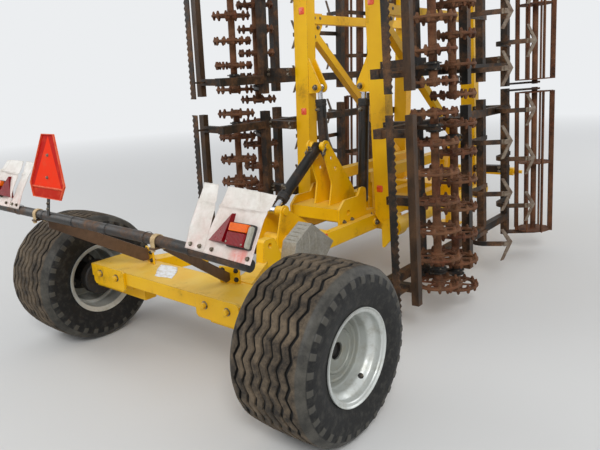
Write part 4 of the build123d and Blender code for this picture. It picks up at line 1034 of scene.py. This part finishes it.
def on_wing(side, across, behind, z):
    """A place on a folded wing, given as if the wing stood upright: turned by its lean about its hinge."""
    dx, dz = across - hinge_x, z - hinge_z
    return at(side * (hinge_x + dx * cos(wing_lean) - dz * sin(wing_lean)), behind,
              hinge_z + dx * sin(wing_lean) + dz * cos(wing_lean))


beam_x, beam_half = 0.381, 0.0305
pin_x, pin_z, pin_half = 0.242, 1.607, 0.0575
knee_spots = ((-1.785, 1.990), (-1.835, 2.060), (-1.855, 2.130), (-1.785, 2.130))
for name, side in sides:
    body = "wing_" + name
    bolts = []
    for way in (-1, 1):
        bolts += hex_bolts([on_wing(side, pin_x, fold_behind + way * pin_half, pin_z)], (0, way, 0), 0.030)
    for way in (-1, 1):
        knee = [on_wing(side, beam_x + way * beam_half, behind, z) for behind, z in knee_spots]
        bolts += hex_bolts(knee, (way * side, 0, 0), 0.022)
    piece("wing_bolts_" + name, bolts, zinc, body)
    pads = [on_wing(side, beam_x - 0.015, -1.6548, z) for z in ((2.177, 1.420) if side > 0 else (0.847, 2.177))]
    piece("wing_reflectors_" + name, [placed(pad, pads, (0, 1, 0), (1, 0, 0))], reflector_red, body)


# ---- Tool sections ------------------------------------------------------------------------------------
# Square tube frames, two to a wing, bolted to its beams with hanger plates. Their thin black paint has gone
# brown in patches. Cast flanged bearings carry the rollers.

def upright_across(finish):
    """How far a place on a folded wing is from the middle, were the wing upright: its slope is taken off."""
    return finish.x.size() + (finish.z - hinge_z) * 0.0332


section_paint, section_brown, section_base, section_rust = black_finish("section_paint", 0.35)
section_behind = section_paint.y - axle_y
on_bar = upright_across(section_paint).above(0.915, 0.01) * section_behind.above(-1.142, 0.006)
bar_cloud = section_paint.noise(18, 7, 0.7, (1, 1, 0.3)).above(0.5, 0.4)
bar_brown = section_paint.mix(bar_cloud, colour(30, 23, 17), colour(86, 62, 41))
section_black = section_paint.mix(section_brown, section_base, section_rust)
section_paint.set(Base_Color=section_paint.mix(on_bar * 0.7, section_black, bar_brown),
                  Roughness=0.5 + section_brown * 0.3)
section_paint.bump(section_paint.noise(45, 7, 0.7) + section_brown * 0.7, 0.0008)
levels = (("lower", 0.200, (0.435, 0.871)), ("upper", 1.540, (0.129, 0.613)))  # name, foot, hangers' shares
section_paint.on(*["section_frame_" + level + "_" + name for level, foot, shares in levels for name, side in sides])
section_height = 1.240
ring_count, ring_margin = 7, 0.094
ring_pitch = (section_height - ring_margin) / (ring_count - 1)
first_rings = (("rear", -1.452, 0.059), ("front", -1.729, 0.059 - ring_pitch / 2))
bearing_shares = (0.5, ring_count - 1.5)
crosskill_x = 0.929
bearing_face, bearing_circle = 0.0165, 0.0500
quarters = np.arange(4) * pi / 2 + pi / 4
bearing_spots = bearing_circle * np.stack([np.cos(quarters), np.sin(quarters), 0 * quarters], axis=-1)
housing = turned([(0.0315, 0.0120), (0.0315, 0.0270), (0.0375, 0.0270), (0.0410, 0.0230), (0.0425, 0.0170),
                  (0.0560, 0.0165), (0.0575, 0.0150), (0.0575, 0.0120)], 30, True)
for name, side in sides:
    axis = on_wing(side, 0, 0, 1) - on_wing(side, 0, 0, 0)
    housings, bolts = [], []
    for level, foot, shares in levels:
        for place, roller_behind, first in first_rings:
            for share in bearing_shares:
                middle = on_wing(side, crosskill_x, roller_behind, foot + first + share * ring_pitch)
                for way in (1, -1):
                    housings.append(placed(housing, [middle], axis * way))
                    spots = middle + axis * way * bearing_face + bearing_spots
                    bolts += hex_bolts(spots, axis * way, 0.0105)
        for share in shares:
            z = foot + share * section_height
            for hanger_behind in (-1.6098, -3.1598):
                spots = [on_wing(side, x, hanger_behind, z + dz) for x in (0.480, 0.690) for dz in (0.012, 0.048)]
                bolts += hex_bolts(spots, (0, 1, 0), 0.019)
    piece("roller_bearings_" + name, housings, black_cast, "wing_" + name)
    piece("section_bolts_" + name, bolts, zinc, "wing_" + name)


# ---- Crosskill rollers --------------------------------------------------------------------------------
# Cast iron rings with open spokes and short pegs on both faces, threaded on a steel tube. The rings of two
# rollers mesh so that they clean each other. Bare castings, rusted brown with soil between the pegs.

iron = Finish("rusted_iron")
iron_cloud = iron.noise(16, 8, 0.72)
iron_fine = iron.noise(110, 5, 0.75)
iron_dry = iron.noise(5, 5, 0.65).above(0.5, 0.3)
iron_worn = (iron.edges(0.003) * 5.0 * iron_fine).above(0.35, 0.3)
iron_brown = iron.mix(iron_cloud.above(0.5, 0.34), colour(29, 18, 12), colour(102, 55, 33))
iron_soiled = iron.mix(iron_dry * 0.45 + iron_fine.above(0.6, 0.2) * 0.3, iron_brown, colour(134, 97, 66))
iron.set(Base_Color=iron.mix(iron_worn * 0.7, iron_soiled, colour(148, 112, 90)),
         Roughness=0.82, Metallic=iron_worn * 0.3, Specular_IOR_Level=0.3)
iron.bump(iron_fine + iron_cloud * 0.8, 0.0014)

rim_band = turned([(0.1200, -0.0085), (0.1510, -0.0085), (0.1545, -0.0055), (0.1545, 0.0055), (0.1510, 0.0085),
                   (0.1200, 0.0085), (0.1180, 0.0050), (0.1180, -0.0050)], 40, True)
ring_hub = turned([(0.0278, -0.0240), (0.0390, -0.0240), (0.0440, -0.0190), (0.0450, 0.0190), (0.0390, 0.0240),
                   (0.0278, 0.0240)], 20, True)
peg = raised(rounded(0.0220, 0.0260, 0.0060, 3),
             [(0, -0.0320), (0.42, -0.0320), (0.55, -0.0295), (1.05, -0.0080), (1.05, 0.0080), (0.55, 0.0295),
              (0.42, 0.0320), (0, 0.0320)])
spoke = raised(rounded(0.0120, 0.0240, 0.0050, 3),
               [(0, 0.0400), (1.25, 0.0400), (0.90, 0.0620), (0.85, 0.1000), (1.15, 0.1290), (0, 0.1290)])


def directions_round(count, turn):
    """Directions square to Z, in equal steps round it from the angle turn."""
    angle = np.arange(count) * 2 * pi / count + turn
    return np.stack([np.cos(angle), np.sin(angle), 0 * angle], axis=-1)


def crosskill_ring(turn):
    """One ring about Z: the band of its rim, the hub, six spokes, and twelve pegs standing on both faces."""
    pegs = [placed(peg, [out * peg_circle], (0, 0, 1), out) for out in directions_round(12, turn)]
    spokes = [placed(spoke, [(0, 0, 0)], out, (0, 0, 1)) for out in directions_round(6, turn + pi / 12)]
    return together([rim_band, ring_hub] + pegs + spokes)


peg_circle = 0.1390
ring_kinds = [crosskill_ring(turn) for turn in (0.0, 0.17, 0.33)]
tube_radius, tube_chamfer, collar_radius, collar_half, tube_margin = 0.0275, 0.003, 0.0290, 0.020, 0.030
tube_length = (ring_count - 1) * ring_pitch + 2 * tube_margin
tube = [(0, 0), (0.0250, 0), (tube_radius, tube_chamfer)]
for share in bearing_shares:
    low, high = (tube_margin + share * ring_pitch + way * collar_half for way in (-1, 1))
    tube += [(tube_radius, low), (collar_radius, low), (collar_radius, high), (tube_radius, high)]
tube += [(tube_radius, tube_length - tube_chamfer), (0.0250, tube_length), (0, tube_length)]
roller_tube = turned(tube, 28)
for side_name, side in sides:
    axis = on_wing(side, 0, 0, 1) - on_wing(side, 0, 0, 0)
    for level, foot, shares in levels:
        for place, roller_behind, first in first_rings:
            name = "crosskill_" + place + "_" + level + "_" + side_name
            shapes = []
            for index in range(ring_count):
                centre = on_wing(side, crosskill_x, roller_behind, foot + first + index * ring_pitch)
                shapes.append(placed(ring_kinds[index % len(ring_kinds)], [centre], axis))
            start = on_wing(side, crosskill_x, roller_behind, foot + first - tube_margin)
            shapes.append(placed(roller_tube, [start], axis))
            made = piece(name + "_cast", shapes, iron, name, 32)
            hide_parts(name)


# ---- Cage rollers -------------------------------------------------------------------------------------
# Light crumbler rollers of flat bars welded round three discs, bare and rusted like the rings.

iron.on(*["cage_roller_" + level + "_" + name for level, foot, shares in levels for name, side in sides])


# ---- Tines --------------------------------------------------------------------------------------------
# Spring steel leaves bent back to wide sweeps. The leaves are dipped black and rusting, and the soil has
# worn the sweeps to pale bare steel. Two bolts hold each sweep.

tine_paint, tine_brown, tine_base, tine_rust = black_finish("tine_paint", 0.4)
sweep_part = upright_across(tine_paint).above(1.022, 0.006)
polish = tine_paint.noise(30, 6, 0.7, (1.0, 0.4, 1.0))
sweep_colour = tine_paint.mix(polish.above(0.5, 0.3), colour(142, 130, 114), colour(92, 70, 54))
leaf_colour = tine_paint.mix(tine_brown, tine_base, tine_rust)
tine_paint.set(Base_Color=tine_paint.mix(sweep_part, leaf_colour, sweep_colour),
               Metallic=sweep_part * 0.5, Roughness=0.55 - sweep_part * 0.12)
tine_paint.bump(tine_paint.noise(60, 6, 0.7) + polish * 0.4, 0.0005)
tine_paint.on("tines_left", "tines_right")


# ---- Levelling bars -----------------------------------------------------------------------------------
# Flat bars with a toothed edge that scrape the soil level, hung behind the sections on short arms.

section_paint.on("levelling_bars_left", "levelling_bars_right")
